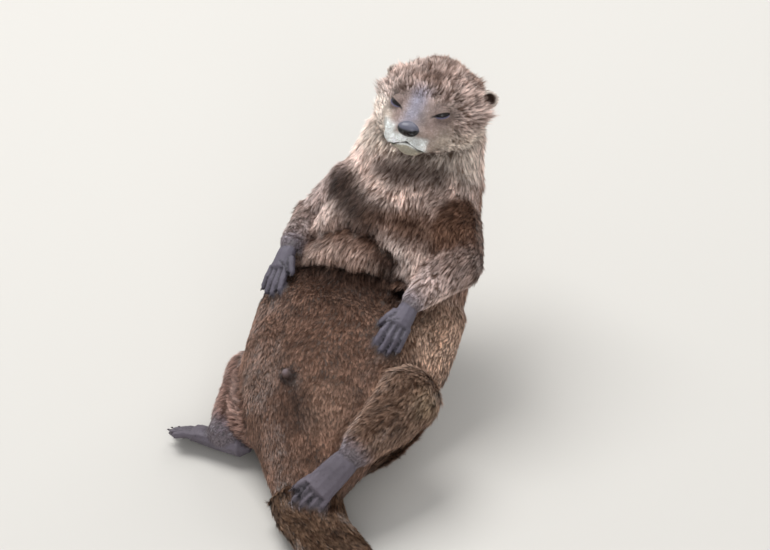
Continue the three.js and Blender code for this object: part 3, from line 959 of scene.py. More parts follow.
from_eyes = [np.linalg.norm(skin - centre, axis=1) / MM for centre in eye_centres.values()]
round_eyes = sum(hill(away, EYE_RADIUS / MM, 4) for away in from_eyes)
paint(0.6 * round_eyes * near_head, "#75625c")
paint(in_ear, "#8d776a")
paint(0.9 * cup, "#3f2d25")
paint(0.95 * ear_rim, "#eadfd4")
print("head painted, mean linear:", markings_light_and_shade[on_skull].mean(axis=0).round(3))

# %% Paint the limbs, the dot, and the painted shade round the hands, in the paws and in the creases
sleeve = np.zeros(len(skin))  # 1 at a wrist or ankle, fading up the limb
elbow = np.zeros(len(skin))
for name in PAWS:
    upper = BEFORE[name]
    joint = skin[(owner == SOLIDS.index(name)) & (around(is_of(upper))[:, 0] > 0)].mean(axis=0)
    down_limb = (skin - joint) @ unit(middle_of(name) - middle_of(upper)) / MM
    sleeve = np.maximum(sleeve, ramp(down_limb, -20, -1) * np.maximum(is_of(upper), is_of(name)))
    if upper.startswith("forearm"):
        elbow = np.maximum(elbow, ramp(down_limb, -24, -48) * is_of(upper))
sleeve = smooth(sleeve, 3)
paint(0.75 * smooth(elbow, 8), "#826b5e")
paint(0.85 * sleeve, "#7d757c")

# painted shade on the belly round the hands, where the fingers lie on it, then the hands' own slate grey
paint(0.7 * on_nodes("hand", rounds=16), "#2c211d")
paint(ramp(on_nodes("hand", rounds=3), 0.45, 0.75), "#5e5964")
paint(on_nodes("foot", rounds=4), "#635c65")

# painted shade between the digits and in every hollow of the paws, then the dark lines of the mouth and the
# lid rims
hollow_mm = ((around(skin) - skin) * skin_normals).sum(axis=1) / MM
paint(0.6 * is_paw * ramp(hollow_mm, 0.03, 0.16) + 0.9 * smooth(web, 2), "#221f24")
paint(dark_line, "#1c1516")
paint(0.8 * lid_rim, "#63607f")

# the dot, its grey partly its own and partly a painted highlight, then painted shade round it and along the
# groove below it, and the shade in the folds
paint(on_dot, "#75686c")
paint(0.85 * hill(to_dot, 5.4, 2.2) + 0.7 * hill(to_belly_groove, 0, 8), "#33221b")
below_crease = on_front * ramp(from_crease, -1, 1) * hill(from_crease, 0, 26)
paint(0.72 * below_crease, "#2e1e17")
paint(0.97 * hill(from_crease, 0.5, 4.2) * on_front, "#080403")
paint(0.92 * around_spot(DEEPEST_CREASE, 15) * on_front * (from_fold > 0), "#0d0706")
paint(0.6 * fold * on_front * (from_fold > 0), "#241814")

fine_mottle = wave(skin, 10 * MM) * (1 - is_paw) * (1 - dark_line)
markings_light_and_shade *= (1 + 0.13 * mottle + 0.16 * fine_mottle)[:, None]
markings_light_and_shade = np.clip(markings_light_and_shade, 0, 1)
print("mean marking, linear:", markings_light_and_shade.mean(axis=0).round(3))

# %% [markdown]
# ## The coat in regions
#
# A piece of more than two hundred thousand triangles is too heavy to hand on, so the coat is made
# in a dozen pieces. Each face of the skin keeps its region and how thickly tufts grow on it, and
# each vertex how long and wide they are there and how far they stand off the skin. Where the otter
# lies on the floor, the fur is pressed down and thinner. The tufts are fewer and coarser than the
# hairs of an otter: each stands for a wet strand of many.

# %% Regions, density and lift
REGIONS = {
    # piece: how its solids' names start, 1 for the upper side and -1 for the lower, tufts wanted
    "coat_face": (("head", "eye", "nose"), 1, 12000),
    "coat_nape": (("head", "ear"), -1, 7600),
    "coat_throat": (("neck",), 1, 6800),
    "coat_shoulders": (("neck",), -1, 3600),
    "coat_chest": (("thorax",), 1, 12200),
    "coat_back": (("thorax",), -1, 5500),
    "coat_belly": (("abdomen",), 1, 12350),
    "coat_rump": (("abdomen",), -1, 5200),
    "coat_tail": (("tail",), 0, 7800),
    "coat_arms": (("upper_arm", "forearm"), 0, 9500),
    "coat_legs": (("thigh", "shank"), 0, 9500),
    "coat_paws": (("hand", "foot"), 0, 4200),
}
LIFT = {
    # how a node's name starts: how far its tufts stand off the skin, in degrees
    "head": 13, "ear": 8, "eye": 6, "nose": 5, "neck": 17, "thorax": 14, "abdomen": 12, "tail": 11,
    "thigh": 21, "shank": 15, "foot": 3, "upper_arm": 14, "forearm": 11, "hand": 3,
}
lift_of = [next(angle for part, angle in LIFT.items() if name.startswith(part)) for name in SOLIDS]
lift = smooth(np.array(lift_of, dtype=float)[owner], 20) + 10 * crown
on_floor = ramp(skin[:, 2] / MM, 9, 3) * ramp(skin_normals[:, 2], -0.2, -0.7)
lift = np.radians(lift * (1 - 0.9 * on_floor))

upper_side = skin_normals @ TRUNK_UP > -0.1
upper_side = np.where(on_skull, (forward > 2) & ~is_ear, upper_side)
print("tufts wanted:", sum(count for _, _, count in REGIONS.values()))

# %% Shorter and longer fur
length_mm, width_mm = measures[:, 1].copy(), measures[:, 2].copy()
muzzle_share = near_head * ramp(forward, 22, 38)
length_mm *= 1 - 0.72 * muzzle_share
width_mm *= 1 - 0.5 * muzzle_share
lift *= 1 - 0.6 * muzzle_share
for away in from_eyes:
    near_eye = hill(away, 0, 11)
    length_mm *= 1 - 0.55 * near_eye
    width_mm *= 1 - 0.35 * near_eye
length_mm *= 1 + 0.7 * crown
cheeks = near_head * ramp(forward, 30, 10) * ramp(up, 8, -10)
length_mm *= 1 + 0.5 * cheeks
length_mm *= 1 + 0.15 * wave(skin, 12 * MM)

cheek_fluff = near_head * ramp(np.abs(left), 20, 32) * ramp(forward, 18, 0) * ramp(up, 18, 6)
length_mm *= 1 + 0.9 * cheek_fluff
lift += np.radians(15 * cheek_fluff)
to_ear = np.min([np.linalg.norm(skin - middle_of(f"ear_{side}"), axis=1) for side in eye_centres], axis=0)
ear_fluff = near_head * (1 - in_ear) * ramp(to_ear / MM, 7, 15) * ramp(np.abs(left), 14, 24)
ear_fluff *= ramp(up, -2, 8)
ear_fluff *= ramp(forward, 22, 8)
ear_fluff *= ramp(up, 30, 20)
length_mm *= 1 + 0.8 * ear_fluff
lift += np.radians(19 * ear_fluff)
length_mm *= 1 - 0.6 * sleeve * (1 - is_paw)
print("mean length and width of a tuft in mm:", length_mm.mean().round(2), width_mm.mean().round(2))

# %% Where fur grows, and in which piece
NOSE_ROOM = 7.5  # no tuft within so many millimetres of the nose pad's middle
growth = (1 - bare) * (1 - web) * (1 - 0.55 * on_floor) * (1 + 1.6 * muzzle_share)
under_nose_pad = np.linalg.norm((skin - on_head(50, 0, -2)) / MM, axis=1) < NOSE_ROOM
growth = np.clip(np.where(under_nose_pad, 0, growth), 0, None)

vertex_region = np.full(len(skin), -1)
for index, (words, side, _) in enumerate(REGIONS.values()):
    chosen = np.array([name.startswith(words) for name in SOLIDS])[owner]
    if side:
        chosen &= upper_side == (side > 0)
    vertex_region[chosen & (vertex_region < 0)] = index
face_region = np.maximum(vertex_region[corners[first_corner]], 0)
print("vertices by region:", dict(zip(REGIONS, np.bincount(np.maximum(vertex_region, 0)).tolist())))

# %% Hand the values to the skin's mesh
skin_mesh.vertices.foreach_set("co", skin.ravel())
skin_mesh.update()


def give(name, kind, values, domain="POINT"):
    """Stores values as an attribute of the skin's mesh."""
    attribute = skin_mesh.attributes.new(name, kind, domain)
    field = {"FLOAT_VECTOR": "vector", "FLOAT_COLOR": "color"}.get(kind, "value")
    attribute.data.foreach_set(field, np.asarray(values).ravel())


face_area = np.empty(len(corner_count))
skin_mesh.polygons.foreach_get("area", face_area)
face_growth = np.bincount(face_of_corner, growth[corners], len(corner_count)) / corner_count
wanted = np.array([count for _, _, count in REGIONS.values()])
grown = np.bincount(face_region, face_area * face_growth, len(REGIONS))
face_density = face_growth * (wanted / np.maximum(grown, 1e-9))[face_region]

low_belly = on_nodes("abdomen", rounds=20) * ramp(skin[:, 1] / MM, 60, 10)
contrast = np.maximum(ramp(length_mm, 1.2, 4.5) * (1 - 0.3 * low_belly), 0.35 * near_head)
wrist_down = ramp(on_nodes("hand", "foot", rounds=12), 0.35, 0.8)
bareness = np.clip(bare + wrist_down + 0.7 * in_ear + 0.6 * muzzle_share, 0, 1)

give("lie", "FLOAT_VECTOR", lie)
give("tuft_length", "FLOAT", length_mm * MM)
give("tuft_width", "FLOAT", width_mm * MM)
give("lift", "FLOAT", lift)
give("markings_light_and_shade", "FLOAT_COLOR", np.hstack([markings_light_and_shade, np.ones((len(skin), 1))]))
give("clumping", "FLOAT", 0.85 * ramp(length_mm, 1.5, 6))
give("contrast", "FLOAT", contrast)
give("bareness", "FLOAT", bareness)
give("region", "INT", face_region, "FACE")
give("density", "FLOAT", face_density, "FACE")
print("tufts per square centimetre, by region:", (wanted / np.maximum(grown, 1e-9) / 1e4).round(0).tolist())

# %% [markdown]
# ## A few locks to copy
#
# Wet fur hangs together in small locks, each of a few hairs that meet near their tips. Seven
# different locks are enough, since each copy is turned and scaled in its own way. A lock is about
# one unit long and one wide, and its hairs are three-sided spikes of four faces each, because there
# will be hundreds of thousands of them.

# %% Locks
LOCKS = 7
HAIRS = 4
HAIR_FACES = [(0, 1, 2), (1, 0, 3), (2, 1, 3), (0, 2, 3)]
lock_collection = bpy.data.collections.new("locks")
for lock_index in range(LOCKS):
    lock_points, lock_faces, tip_share, patch = [], [], [], []
    for hair_index in range(HAIRS):
        root_y = (hair_index / (HAIRS - 1) - 0.5) * 1.3 + random.uniform(-0.15, 0.15)
        start = np.array([random.uniform(-0.25, 0.25), root_y, random.uniform(-0.15, 0.05)])
        reach, drift = random.uniform(0.62, 1.05), random.uniform(-0.2, 0.2)
        end = np.array([reach, root_y * 0.5 + drift, random.uniform(-0.12, 0.28)])
        half_width, height = random.uniform(0.16, 0.24), random.uniform(0.16, 0.26)
        base = len(lock_points)
        lock_points += [start + [0, -half_width, 0], start + [0, half_width, 0], start + [0, 0, height], end]
        lock_faces += [tuple(base + i for i in face) for face in HAIR_FACES]
        tip_share += [0, 0, 0, 1]
        u = (hair_index + 0.5) / HAIRS
        patch += [(u - 0.1, 0.1, 0), (u + 0.1, 0.1, 0), (u, 0.2, 0), (u, 0.9, 0)]
    lock_mesh = bpy.data.meshes.new(f"lock_{lock_index}")
    lock_mesh.from_pydata(lock_points, [], lock_faces)
    lock_mesh.attributes.new("tip", "FLOAT", "POINT").data.foreach_set("value", tip_share)
    patch_attribute = lock_mesh.attributes.new("patch", "FLOAT_VECTOR", "POINT")
    patch_attribute.data.foreach_set("vector", np.array(patch).ravel())
    lock = bpy.data.objects.new(f"lock_{lock_index}", lock_mesh)
    lock_collection.objects.link(lock)
print("faces in a lock:", len(lock_mesh.polygons))

# %% [markdown]
# ## Materials
#
# Fur is a stack of fine, shiny, see-through tubes. At this scale it reads as a soft, half-matt
# surface whose roots lie in shade, so the colour goes from painted shade at the root to light at
# the tip. Each lock is a little lighter or darker than the next, and the spread is wide, with the
# lightest locks bluish, so that they stand for painted glints on wet hair. The skin below carries
# the same markings and painted shade, darker still as painted shade, so that no gap in the coat
# shows as a bright spot.

# %% Fur and hide
# these multiply the markings: roots in painted shade and light tips, dark tufts and light ones, the lightest
# bluish as painted glints
ROOT_SHADE, TIP_LIGHT = (0.16, 0.13, 0.11), (2.0, 2.05, 2.1)
DARKEST_TUFT, LIGHTEST_TUFT_AND_GLINT = (0.36, 0.28, 0.24), (1.78, 1.88, 2.0)

fur, tree, shader = new_finish("wet otter fur, half matt")
shader.inputs["Roughness"].default_value = 0.36  # damp guard hairs, which catch soft streaks of light
shader.inputs["Specular IOR Level"].default_value = 0.33
colour = add(tree, "ShaderNodeAttribute", attribute_name="markings_light_and_shade")
tip = add(tree, "ShaderNodeAttribute", attribute_name="tip")
chance = add(tree, "ShaderNodeAttribute", attribute_name="tuft_random")
strand_contrast = add(tree, "ShaderNodeAttribute", attribute_name="contrast")
by_tip = add(tree, "ShaderNodeMix", {4: ROOT_SHADE, 5: TIP_LIGHT}, {0: tip.outputs["Fac"]},
             data_type="VECTOR")
spread_out = add(tree, "ShaderNodeMapRange", {"From Min": 0.2, "From Max": 0.8},
                 {"Value": chance.outputs["Fac"]})
by_chance = add(tree, "ShaderNodeMix", {4: DARKEST_TUFT, 5: LIGHTEST_TUFT_AND_GLINT}, {0: spread_out.outputs[0]},
                data_type="VECTOR")
strands = add(tree, "ShaderNodeVectorMath", None, {0: by_tip.outputs[1], 1: by_chance.outputs[1]},
              operation="MULTIPLY")
strands = add(tree, "ShaderNodeMix", {4: (1, 1, 1)}, {
    0: strand_contrast.outputs["Fac"], 5: strands.outputs[0]}, data_type="VECTOR")
tinted = add(tree, "ShaderNodeVectorMath", None, {0: colour.outputs["Color"], 1: strands.outputs[1]},
             operation="MULTIPLY")
tree.links.new(tinted.outputs[0], shader.inputs["Base Color"])

hide, tree, shader = new_finish("otter hide, short velvet")
shader.inputs["Roughness"].default_value = 0.6  # soft skin, a faint sheen where it is bare
shader.inputs["Specular IOR Level"].default_value = 0.35
colour = add(tree, "ShaderNodeAttribute", attribute_name="markings_light_and_shade")
bare_share = add(tree, "ShaderNodeAttribute", attribute_name="bareness")
in_shade = add(tree, "ShaderNodeMapRange", {"To Min": 0.4, "To Max": 1.0},
               {"Value": bare_share.outputs["Fac"]})
tinted = add(tree, "ShaderNodeVectorMath", None, {0: colour.outputs["Color"], "Scale": in_shade.outputs[0]},
             operation="SCALE")
tree.links.new(tinted.outputs[0], shader.inputs["Base Color"])
VELVET_SIZE = 1.2 * MM  # several times coarser than the real nap, so that it shows at all
place = add(tree, "ShaderNodeTexCoord")
velvet = add(tree, "ShaderNodeTexNoise", {"Scale": 1 / VELVET_SIZE, "Detail": 3},
             {"Vector": place.outputs["Object"]})
bump = add(tree, "ShaderNodeBump", {"Strength": 0.5, "Distance": 0.4 * MM}, {"Height": velvet.outputs[0]})
tree.links.new(bump.outputs[0], shader.inputs["Normal"])
print("finishes:", fur.name, "and", hide.name)

# %% [markdown]
# ## Growing the coat
#
# One tree of nodes grows every piece. It scatters roots over its own region of the skin, as thickly
# as the skin's values say, and a second, wider scatter of clump points that each root leans to,
# which is what parts the fur into spikes. Then it stands a lock on each root, gives each copy its
# own patch in the map called OFBake, and turns the copies into a real mesh.

# %% The tree that grows fur
grower = bpy.data.node_groups.new("grow coat", "GeometryNodeTree")
for name, kind in (("Geometry", "NodeSocketGeometry"), ("Region", "NodeSocketInt"), ("Seed", "NodeSocketInt"),
                   ("Clump Spacing", "NodeSocketFloat"), ("Middle", "NodeSocketVector"),
                   ("Along", "NodeSocketVector"), ("Front", "NodeSocketVector"),
                   ("Locks", "NodeSocketCollection"), ("Fur", "NodeSocketMaterial")):
    grower.interface.new_socket(name, in_out="INPUT", socket_type=kind)
grower.interface.new_socket("Geometry", in_out="OUTPUT", socket_type="NodeSocketGeometry")
VECTOR, MATHS = "ShaderNodeVectorMath", "ShaderNodeMath"
given = add(grower, "NodeGroupInput").outputs


def value_of(name, kind="FLOAT"):
    """The output of a node that reads a named attribute."""
    return add(grower, "GeometryNodeInputNamedAttribute", {"Name": name}, data_type=kind).outputs["Attribute"]


def chance_of(low, high, seed):
    """The output of a node that gives each tuft a random number."""
    node = add(grower, "FunctionNodeRandomValue", {"Seed": seed, 2: low, 3: high}, data_type="FLOAT")
    return node.outputs[1]


# roots and clump points on this region of the skin
in_region = add(grower, "FunctionNodeCompare", None, {2: value_of("region", "INT"), 3: given["Region"]},
                data_type="INT", operation="EQUAL")
roots = add(grower, "GeometryNodeDistributePointsOnFaces", None, {
    "Mesh": given["Geometry"], "Selection": in_region.outputs[0], "Density": value_of("density"),
    "Seed": given["Seed"],
}, distribute_method="RANDOM")
clumps = add(grower, "GeometryNodeDistributePointsOnFaces", {"Density Max": 500000}, {
    "Mesh": given["Geometry"], "Selection": in_region.outputs[0], "Distance Min": given["Clump Spacing"],
    "Seed": given["Seed"],
}, distribute_method="POISSON")

# which way each tuft leans: along the coat, and towards the tip of the nearest clump
here = add(grower, "GeometryNodeInputPosition").outputs[0]
lie_here = value_of("lie", "FLOAT_VECTOR")
nearest = add(grower, "GeometryNodeSampleNearest", None, {
    "Geometry": clumps.outputs[0], "Sample Position": here}, domain="POINT")
clump_place = add(grower, "GeometryNodeSampleIndex", None, {
    "Geometry": clumps.outputs[0], "Value": here, "Index": nearest.outputs[0]},
    data_type="FLOAT_VECTOR", domain="POINT")
clump_lie = add(grower, "GeometryNodeSampleIndex", None, {
    "Geometry": clumps.outputs[0], "Value": lie_here, "Index": nearest.outputs[0]},
    data_type="FLOAT_VECTOR", domain="POINT")
reach = add(grower, VECTOR, None, {
    0: clump_lie.outputs[0], "Scale": value_of("tuft_length")}, operation="SCALE")
clump_tip = add(grower, VECTOR, None, {0: clump_place.outputs[0], 1: reach.outputs[0]}, operation="ADD")
to_tip = add(grower, VECTOR, None, {0: clump_tip.outputs[0], 1: here}, operation="SUBTRACT")
to_tip = add(grower, VECTOR, None, {0: to_tip.outputs[0]}, operation="NORMALIZE")
leaning = add(grower, "ShaderNodeMix", None, {
    0: value_of("clumping"), 4: lie_here, 5: to_tip.outputs[0]}, data_type="VECTOR")
normal = roots.outputs["Normal"]
upright = add(grower, VECTOR, None, {0: leaning.outputs[1], 1: normal}, operation="DOT_PRODUCT")
along_normal = add(grower, VECTOR, None, {0: normal, "Scale": upright.outputs["Value"]}, operation="SCALE")
flat = add(grower, VECTOR, None, {0: leaning.outputs[1], 1: along_normal.outputs[0]}, operation="SUBTRACT")
flat = add(grower, VECTOR, None, {0: flat.outputs[0]}, operation="NORMALIZE")
lift_here = add(grower, MATHS, None, {0: value_of("lift"), 1: chance_of(0.5, 1.5, 1)}, operation="MULTIPLY")
slope = add(grower, MATHS, None, {0: lift_here.outputs[0]}, operation="TANGENT")
rise = add(grower, VECTOR, None, {0: normal, "Scale": slope.outputs[0]}, operation="SCALE")
pointing = add(grower, VECTOR, None, {0: flat.outputs[0], 1: rise.outputs[0]}, operation="ADD")
turned = add(grower, "FunctionNodeAxesToRotation", None, {
    "Primary Axis": pointing.outputs[0], "Secondary Axis": normal}, primary_axis="X", secondary_axis="Z")

# how large each tuft is, flatter where the contrast is low, and which lock it copies
tuft_length = add(grower, MATHS, None, {0: value_of("tuft_length"), 1: chance_of(0.7, 1.25, 2)},
                  operation="MULTIPLY")
tuft_width = add(grower, MATHS, None, {0: value_of("tuft_width"), 1: chance_of(0.75, 1.3, 3)},
                 operation="MULTIPLY")
stand = add(grower, "ShaderNodeMapRange", {"To Min": 0.25}, {"Value": value_of("contrast")})
thickness = add(grower, MATHS, None, {0: tuft_width.outputs[0], 1: stand.outputs[0]}, operation="MULTIPLY")
size = add(grower, "ShaderNodeCombineXYZ", None, {
    0: tuft_length.outputs[0], 1: tuft_width.outputs[0], 2: thickness.outputs[0]})
lock_choice = add(grower, "FunctionNodeRandomValue", {"Seed": 4, 4: 0, 5: LOCKS - 1}, data_type="INT")
locks = add(grower, "GeometryNodeCollectionInfo", {"Separate Children": True, "Reset Children": True},
            {"Collection": given["Locks"]})

# where each root lies on the map: round the region's long axis, and along it
MAP_LOW, MAP_HIGH = 0.01, 0.99
from_middle = add(grower, VECTOR, None, {0: here, 1: given["Middle"]}, operation="SUBTRACT").outputs[0]
across = add(grower, VECTOR, None, {0: given["Along"], 1: given["Front"]}, operation="CROSS_PRODUCT")
across = add(grower, VECTOR, None, {0: across.outputs[0]}, operation="NORMALIZE")
run = add(grower, VECTOR, None, {0: from_middle, 1: given["Along"]}, operation="DOT_PRODUCT")
ahead = add(grower, VECTOR, None, {0: from_middle, 1: given["Front"]}, operation="DOT_PRODUCT")
aside = add(grower, VECTOR, None, {0: from_middle, 1: across.outputs[0]}, operation="DOT_PRODUCT")
angle = add(grower, MATHS, None, {0: aside.outputs["Value"], 1: ahead.outputs["Value"]}, operation="ARCTAN2")
angle = add(grower, "ShaderNodeMapRange", {
    "From Min": -math.pi, "From Max": math.pi, "To Min": MAP_LOW, "To Max": MAP_HIGH,
}, {"Value": angle.outputs[0]})
run = add(grower, "ShaderNodeMapRange", {
    "From Min": -1, "From Max": 1, "To Min": MAP_LOW, "To Max": MAP_HIGH,
}, {"Value": run.outputs["Value"]})
root_place = add(grower, "ShaderNodeCombineXYZ", None, {0: angle.outputs[0], 1: run.outputs[0]})

# a tuft is lighter or darker, half by its clump's chance and half by its own
CLUMP_PART, OWN_PART = 0.5, 0.5
rooted = add(grower, "GeometryNodeStoreNamedAttribute", {"Name": "root_place"}, {
    "Geometry": roots.outputs["Points"], "Value": root_place.outputs[0],
}, data_type="FLOAT_VECTOR", domain="POINT")
clump_chance = add(grower, "FunctionNodeRandomValue", {"Seed": 6, 2: 0, 3: CLUMP_PART},
                   {"ID": nearest.outputs[0]}, data_type="FLOAT")
both_chances = add(grower, MATHS, None, {
    0: clump_chance.outputs[1], 1: chance_of(0, OWN_PART, 5)}, operation="ADD")
rooted = add(grower, "GeometryNodeStoreNamedAttribute", {"Name": "tuft_random"}, {
    "Geometry": rooted.outputs[0], "Value": both_chances.outputs[0]}, data_type="FLOAT", domain="POINT")

# a lock on each root, made real, mapped and given its finish
placed = add(grower, "GeometryNodeInstanceOnPoints", {"Pick Instance": True}, {
    "Points": rooted.outputs[0], "Instance": locks.outputs[0], "Instance Index": lock_choice.outputs[2],
    "Rotation": turned.outputs[0], "Scale": size.outputs[0]})
real = add(grower, "GeometryNodeRealizeInstances", None, {0: placed.outputs[0]})
PATCH = 0.003  # how much of the map one tuft takes
on_patch = add(grower, VECTOR, {1: (0.5, 0.5, 0)}, {0: value_of("patch", "FLOAT_VECTOR")},
               operation="SUBTRACT")
on_patch = add(grower, VECTOR, {"Scale": PATCH}, {0: on_patch.outputs[0]}, operation="SCALE")
map_place = add(grower, VECTOR, None, {0: value_of("root_place", "FLOAT_VECTOR"), 1: on_patch.outputs[0]},
                operation="ADD")
mapped = add(grower, "GeometryNodeStoreNamedAttribute", {"Name": "OFBake"}, {
    "Geometry": real.outputs[0], "Value": map_place.outputs[0]}, data_type="FLOAT2", domain="CORNER")
painted = add(grower, "GeometryNodeSetMaterial", None, {
    "Geometry": mapped.outputs[0], "Material": given["Fur"]})
add(grower, "NodeGroupOutput", None, {"Geometry": painted.outputs[0]})
print("nodes in the tree:", len(grower.nodes))

# %% Grow each region
socket_of = {item.name: item.identifier for item in grower.interface.items_tree if item.in_out == "INPUT"}
CLUMP_SPACING = {"coat_face": 1.3, "coat_paws": 1.2}  # millimetres
WIDE_SPACING = 1.4  # for every other piece
FLOOR_GAP = 0.3 * MM  # what hangs lower than this is brought nearly up to it
PRESS = 0.95  # how nearly
SPARE_ATTRIBUTES = ("lie", "tuft_length", "tuft_width", "lift", "density", "region", "bareness", "clumping",
                    "patch", "root_place")


def grow(piece_name, region_index):
    """Grows one region of the coat and returns it as an object with a plain mesh."""
    inside = skin[vertex_region == region_index]
    middle = (inside.min(axis=0) + inside.max(axis=0)) / 2
    spread = np.linalg.svd(inside - middle, full_matrices=False)[2]
    reach = np.abs((inside - middle) @ spread[0]).max()
    piece = new_object(piece_name, skin_mesh.copy())
    growing = piece.modifiers.new("grow", "NODES")
    growing.node_group = grower
    settings = {
        "Region": region_index, "Seed": region_index + 1,
        "Clump Spacing": CLUMP_SPACING.get(piece_name, WIDE_SPACING) * MM,
        "Middle": middle.tolist(), "Along": (spread[0] / reach).tolist(), "Front": spread[2].tolist(),
        "Locks": lock_collection, "Fur": fur,
    }
    for name, value in settings.items():
        growing[socket_of[name]] = value
    grown_mesh = plain_mesh(piece)
    piece.modifiers.remove(growing)
    bare_copy = piece.data
    piece.data = grown_mesh
    bpy.data.meshes.remove(bare_copy)
    grown_mesh.name = piece_name
    places = np.empty((len(grown_mesh.vertices), 3))
    grown_mesh.vertices.foreach_get("co", places.ravel())
    under = np.minimum(places[:, 2] - floor_level - FLOOR_GAP, 0)
    places[:, 2] -= PRESS * under
    grown_mesh.vertices.foreach_set("co", places.ravel())
    for name in SPARE_ATTRIBUTES:
        if name in grown_mesh.attributes:
            grown_mesh.attributes.remove(grown_mesh.attributes[name])
    return piece


coat = [grow(name, index) for index, name in enumerate(REGIONS)]
for piece in coat:
    print(piece.name, "triangles:", len(piece.data.polygons), "maps:", [m.name for m in piece.data.uv_layers])
print("coat triangles:", sum(len(piece.data.polygons) for piece in coat))

# %% [markdown]
# ## Eyes, nose, claws and whiskers
#
# The hard and wet parts are pieces of their own. An eyeball is a smooth ball, nearly black, and so
# wet that it mirrors the sky in the slit between the lids. The nose pad is leathery and damp: a
# rounded cushion with a comma-shaped nostril on each side and a groove down the middle. A claw is
# a short cone at the tip of each digit, and a whisker a long, thin, drooping taper.

# %% Eyeballs


def mesh_piece(name, places, faces, material, smooth_faces=True):
    """A new object from places in the frame and faces, with one material."""
    mesh = bpy.data.meshes.new(name)
    mesh.from_pydata(np.asarray(places).tolist(), [], faces)
    mesh.polygons.foreach_set("use_smooth", [smooth_faces] * len(mesh.polygons))
    mesh.materials.append(material)
    return new_object(name, mesh)


def round_ball(rows, columns):
    """Directions over a ball from its +Z pole to its -Z pole, and the faces that join them."""
    places, faces = [(0, 0, 1)], []
    for row in range(1, rows):
        a = math.pi * row / rows
        for column in range(columns):
            b = 2 * math.pi * column / columns
            places.append((math.sin(a) * math.cos(b), math.sin(a) * math.sin(b), math.cos(a)))
    places.append((0, 0, -1))
    last = len(places) - 1
    for column in range(columns):
        after = (column + 1) % columns
        faces.append((0, 1 + column, 1 + after))
        for row in range(rows - 2):
            here, below = 1 + row * columns, 1 + (row + 1) * columns
            faces.append((here + column, below + column, below + after, here + after))
        bottom = 1 + (rows - 2) * columns
        faces.append((last, bottom + after, bottom + column))
    return np.array(places), faces


wet_eye, _, shader = new_finish("wet dark eyeball")
shader.inputs["Base Color"].default_value = linear("#140d10")
shader.inputs["Roughness"].default_value = 0.2  # a film of tears gives one small glint
shader.inputs["IOR"].default_value = 1.376  # cornea
directions, ball_faces = round_ball(24, 36)
eyeballs = {}
for side, centre in eye_centres.items():
    eyeballs[side] = mesh_piece(f"eyeball_{side}", centre + directions * EYE_RADIUS, ball_faces, wet_eye)
print("eyeballs:", list(eyeballs))

# %% Nose pad
NOSE_SIZE = np.array([5.6, 8.2, 5.8])  # half sizes forward, left and up, in millimetres
directions, nose_faces = round_ball(60, 88)
fore, side_on, over = directions.T
front = ramp(fore, 0.0, 0.5)
swell = 1 + 0.05 * hill(side_on, 0.62, 0.3) * front + 0.05 * hill(side_on, -0.62, 0.3) * front
swell -= 0.07 * ramp(over, 0.3, 1.0) * np.abs(side_on)
nostrils = np.zeros(len(side_on))
for side in (1, -1):
    outward = side_on * side
    inner = hill(outward, 0.55, 0.2) * hill(over, -0.26, 0.16)
    wing = hill(outward, 0.82, 0.16) * hill(over, -0.05 + 0.35 * (outward - 0.6), 0.12)
    nostrils = np.maximum(nostrils, np.maximum(inner, 0.8 * wing) * ramp(fore, 0.05, 0.35))
centre_groove = hill(side_on, 0, 0.06) * ramp(over, 0.15, -0.3) * front
swell -= 0.34 * nostrils + 0.06 * centre_groove
pad = directions * NOSE_SIZE * swell[:, None] + NOSE_CENTRE
pad[:, 0] -= 1.2 * ramp(over, 0.1, -1.0) * front
nose_places = HEAD_CENTRE + (pad @ np.array([HEAD_FORWARD, HEAD_LEFT, HEAD_UP])) * MM

damp_nose, tree, shader = new_finish("damp nose leather")
shader.inputs["Roughness"].default_value = 0.36  # damp leather, a broad soft shine on top
tone = add(tree, "ShaderNodeAttribute", attribute_name="markings_light_and_shade")
tree.links.new(tone.outputs["Color"], shader.inputs["Base Color"])
place = add(tree, "ShaderNodeTexCoord")
PEBBLE_SIZE = 0.7 * MM
pebbles = add(tree, "ShaderNodeTexVoronoi", {"Scale": 1 / PEBBLE_SIZE}, {"Vector": place.outputs["Object"]})
bump = add(tree, "ShaderNodeBump", {"Strength": 0.35, "Distance": 0.15 * MM},
           {"Height": pebbles.outputs["Distance"]})
tree.links.new(bump.outputs[0], shader.inputs["Normal"])
nose_pad = mesh_piece("nose_pad", nose_places, nose_faces, damp_nose)
# painted light on the nose pad: the top is a lighter blue-grey for the wet shine from above, and it turns
# nearly black where it faces down and in the nostrils and groove, partly the leather's own black and partly
# painted shade
black_and_shaded_part = np.clip(ramp(over, 0.3, -0.15) + 1.3 * nostrils + 0.5 * centre_groove, 0, 1)[:, None]
lit_top_tone, low_tone = np.array(linear("#5f5f6d")), np.array(linear("#070608"))
nose_tones = lit_top_tone * (1 - black_and_shaded_part) + low_tone * black_and_shaded_part
nose_light_and_shade = nose_pad.data.attributes.new("markings_light_and_shade", "FLOAT_COLOR", "POINT")
nose_light_and_shade.data.foreach_set("color", nose_tones.ravel())
print("nose pad faces:", len(nose_faces))

# %% Tapers, for claws and whiskers


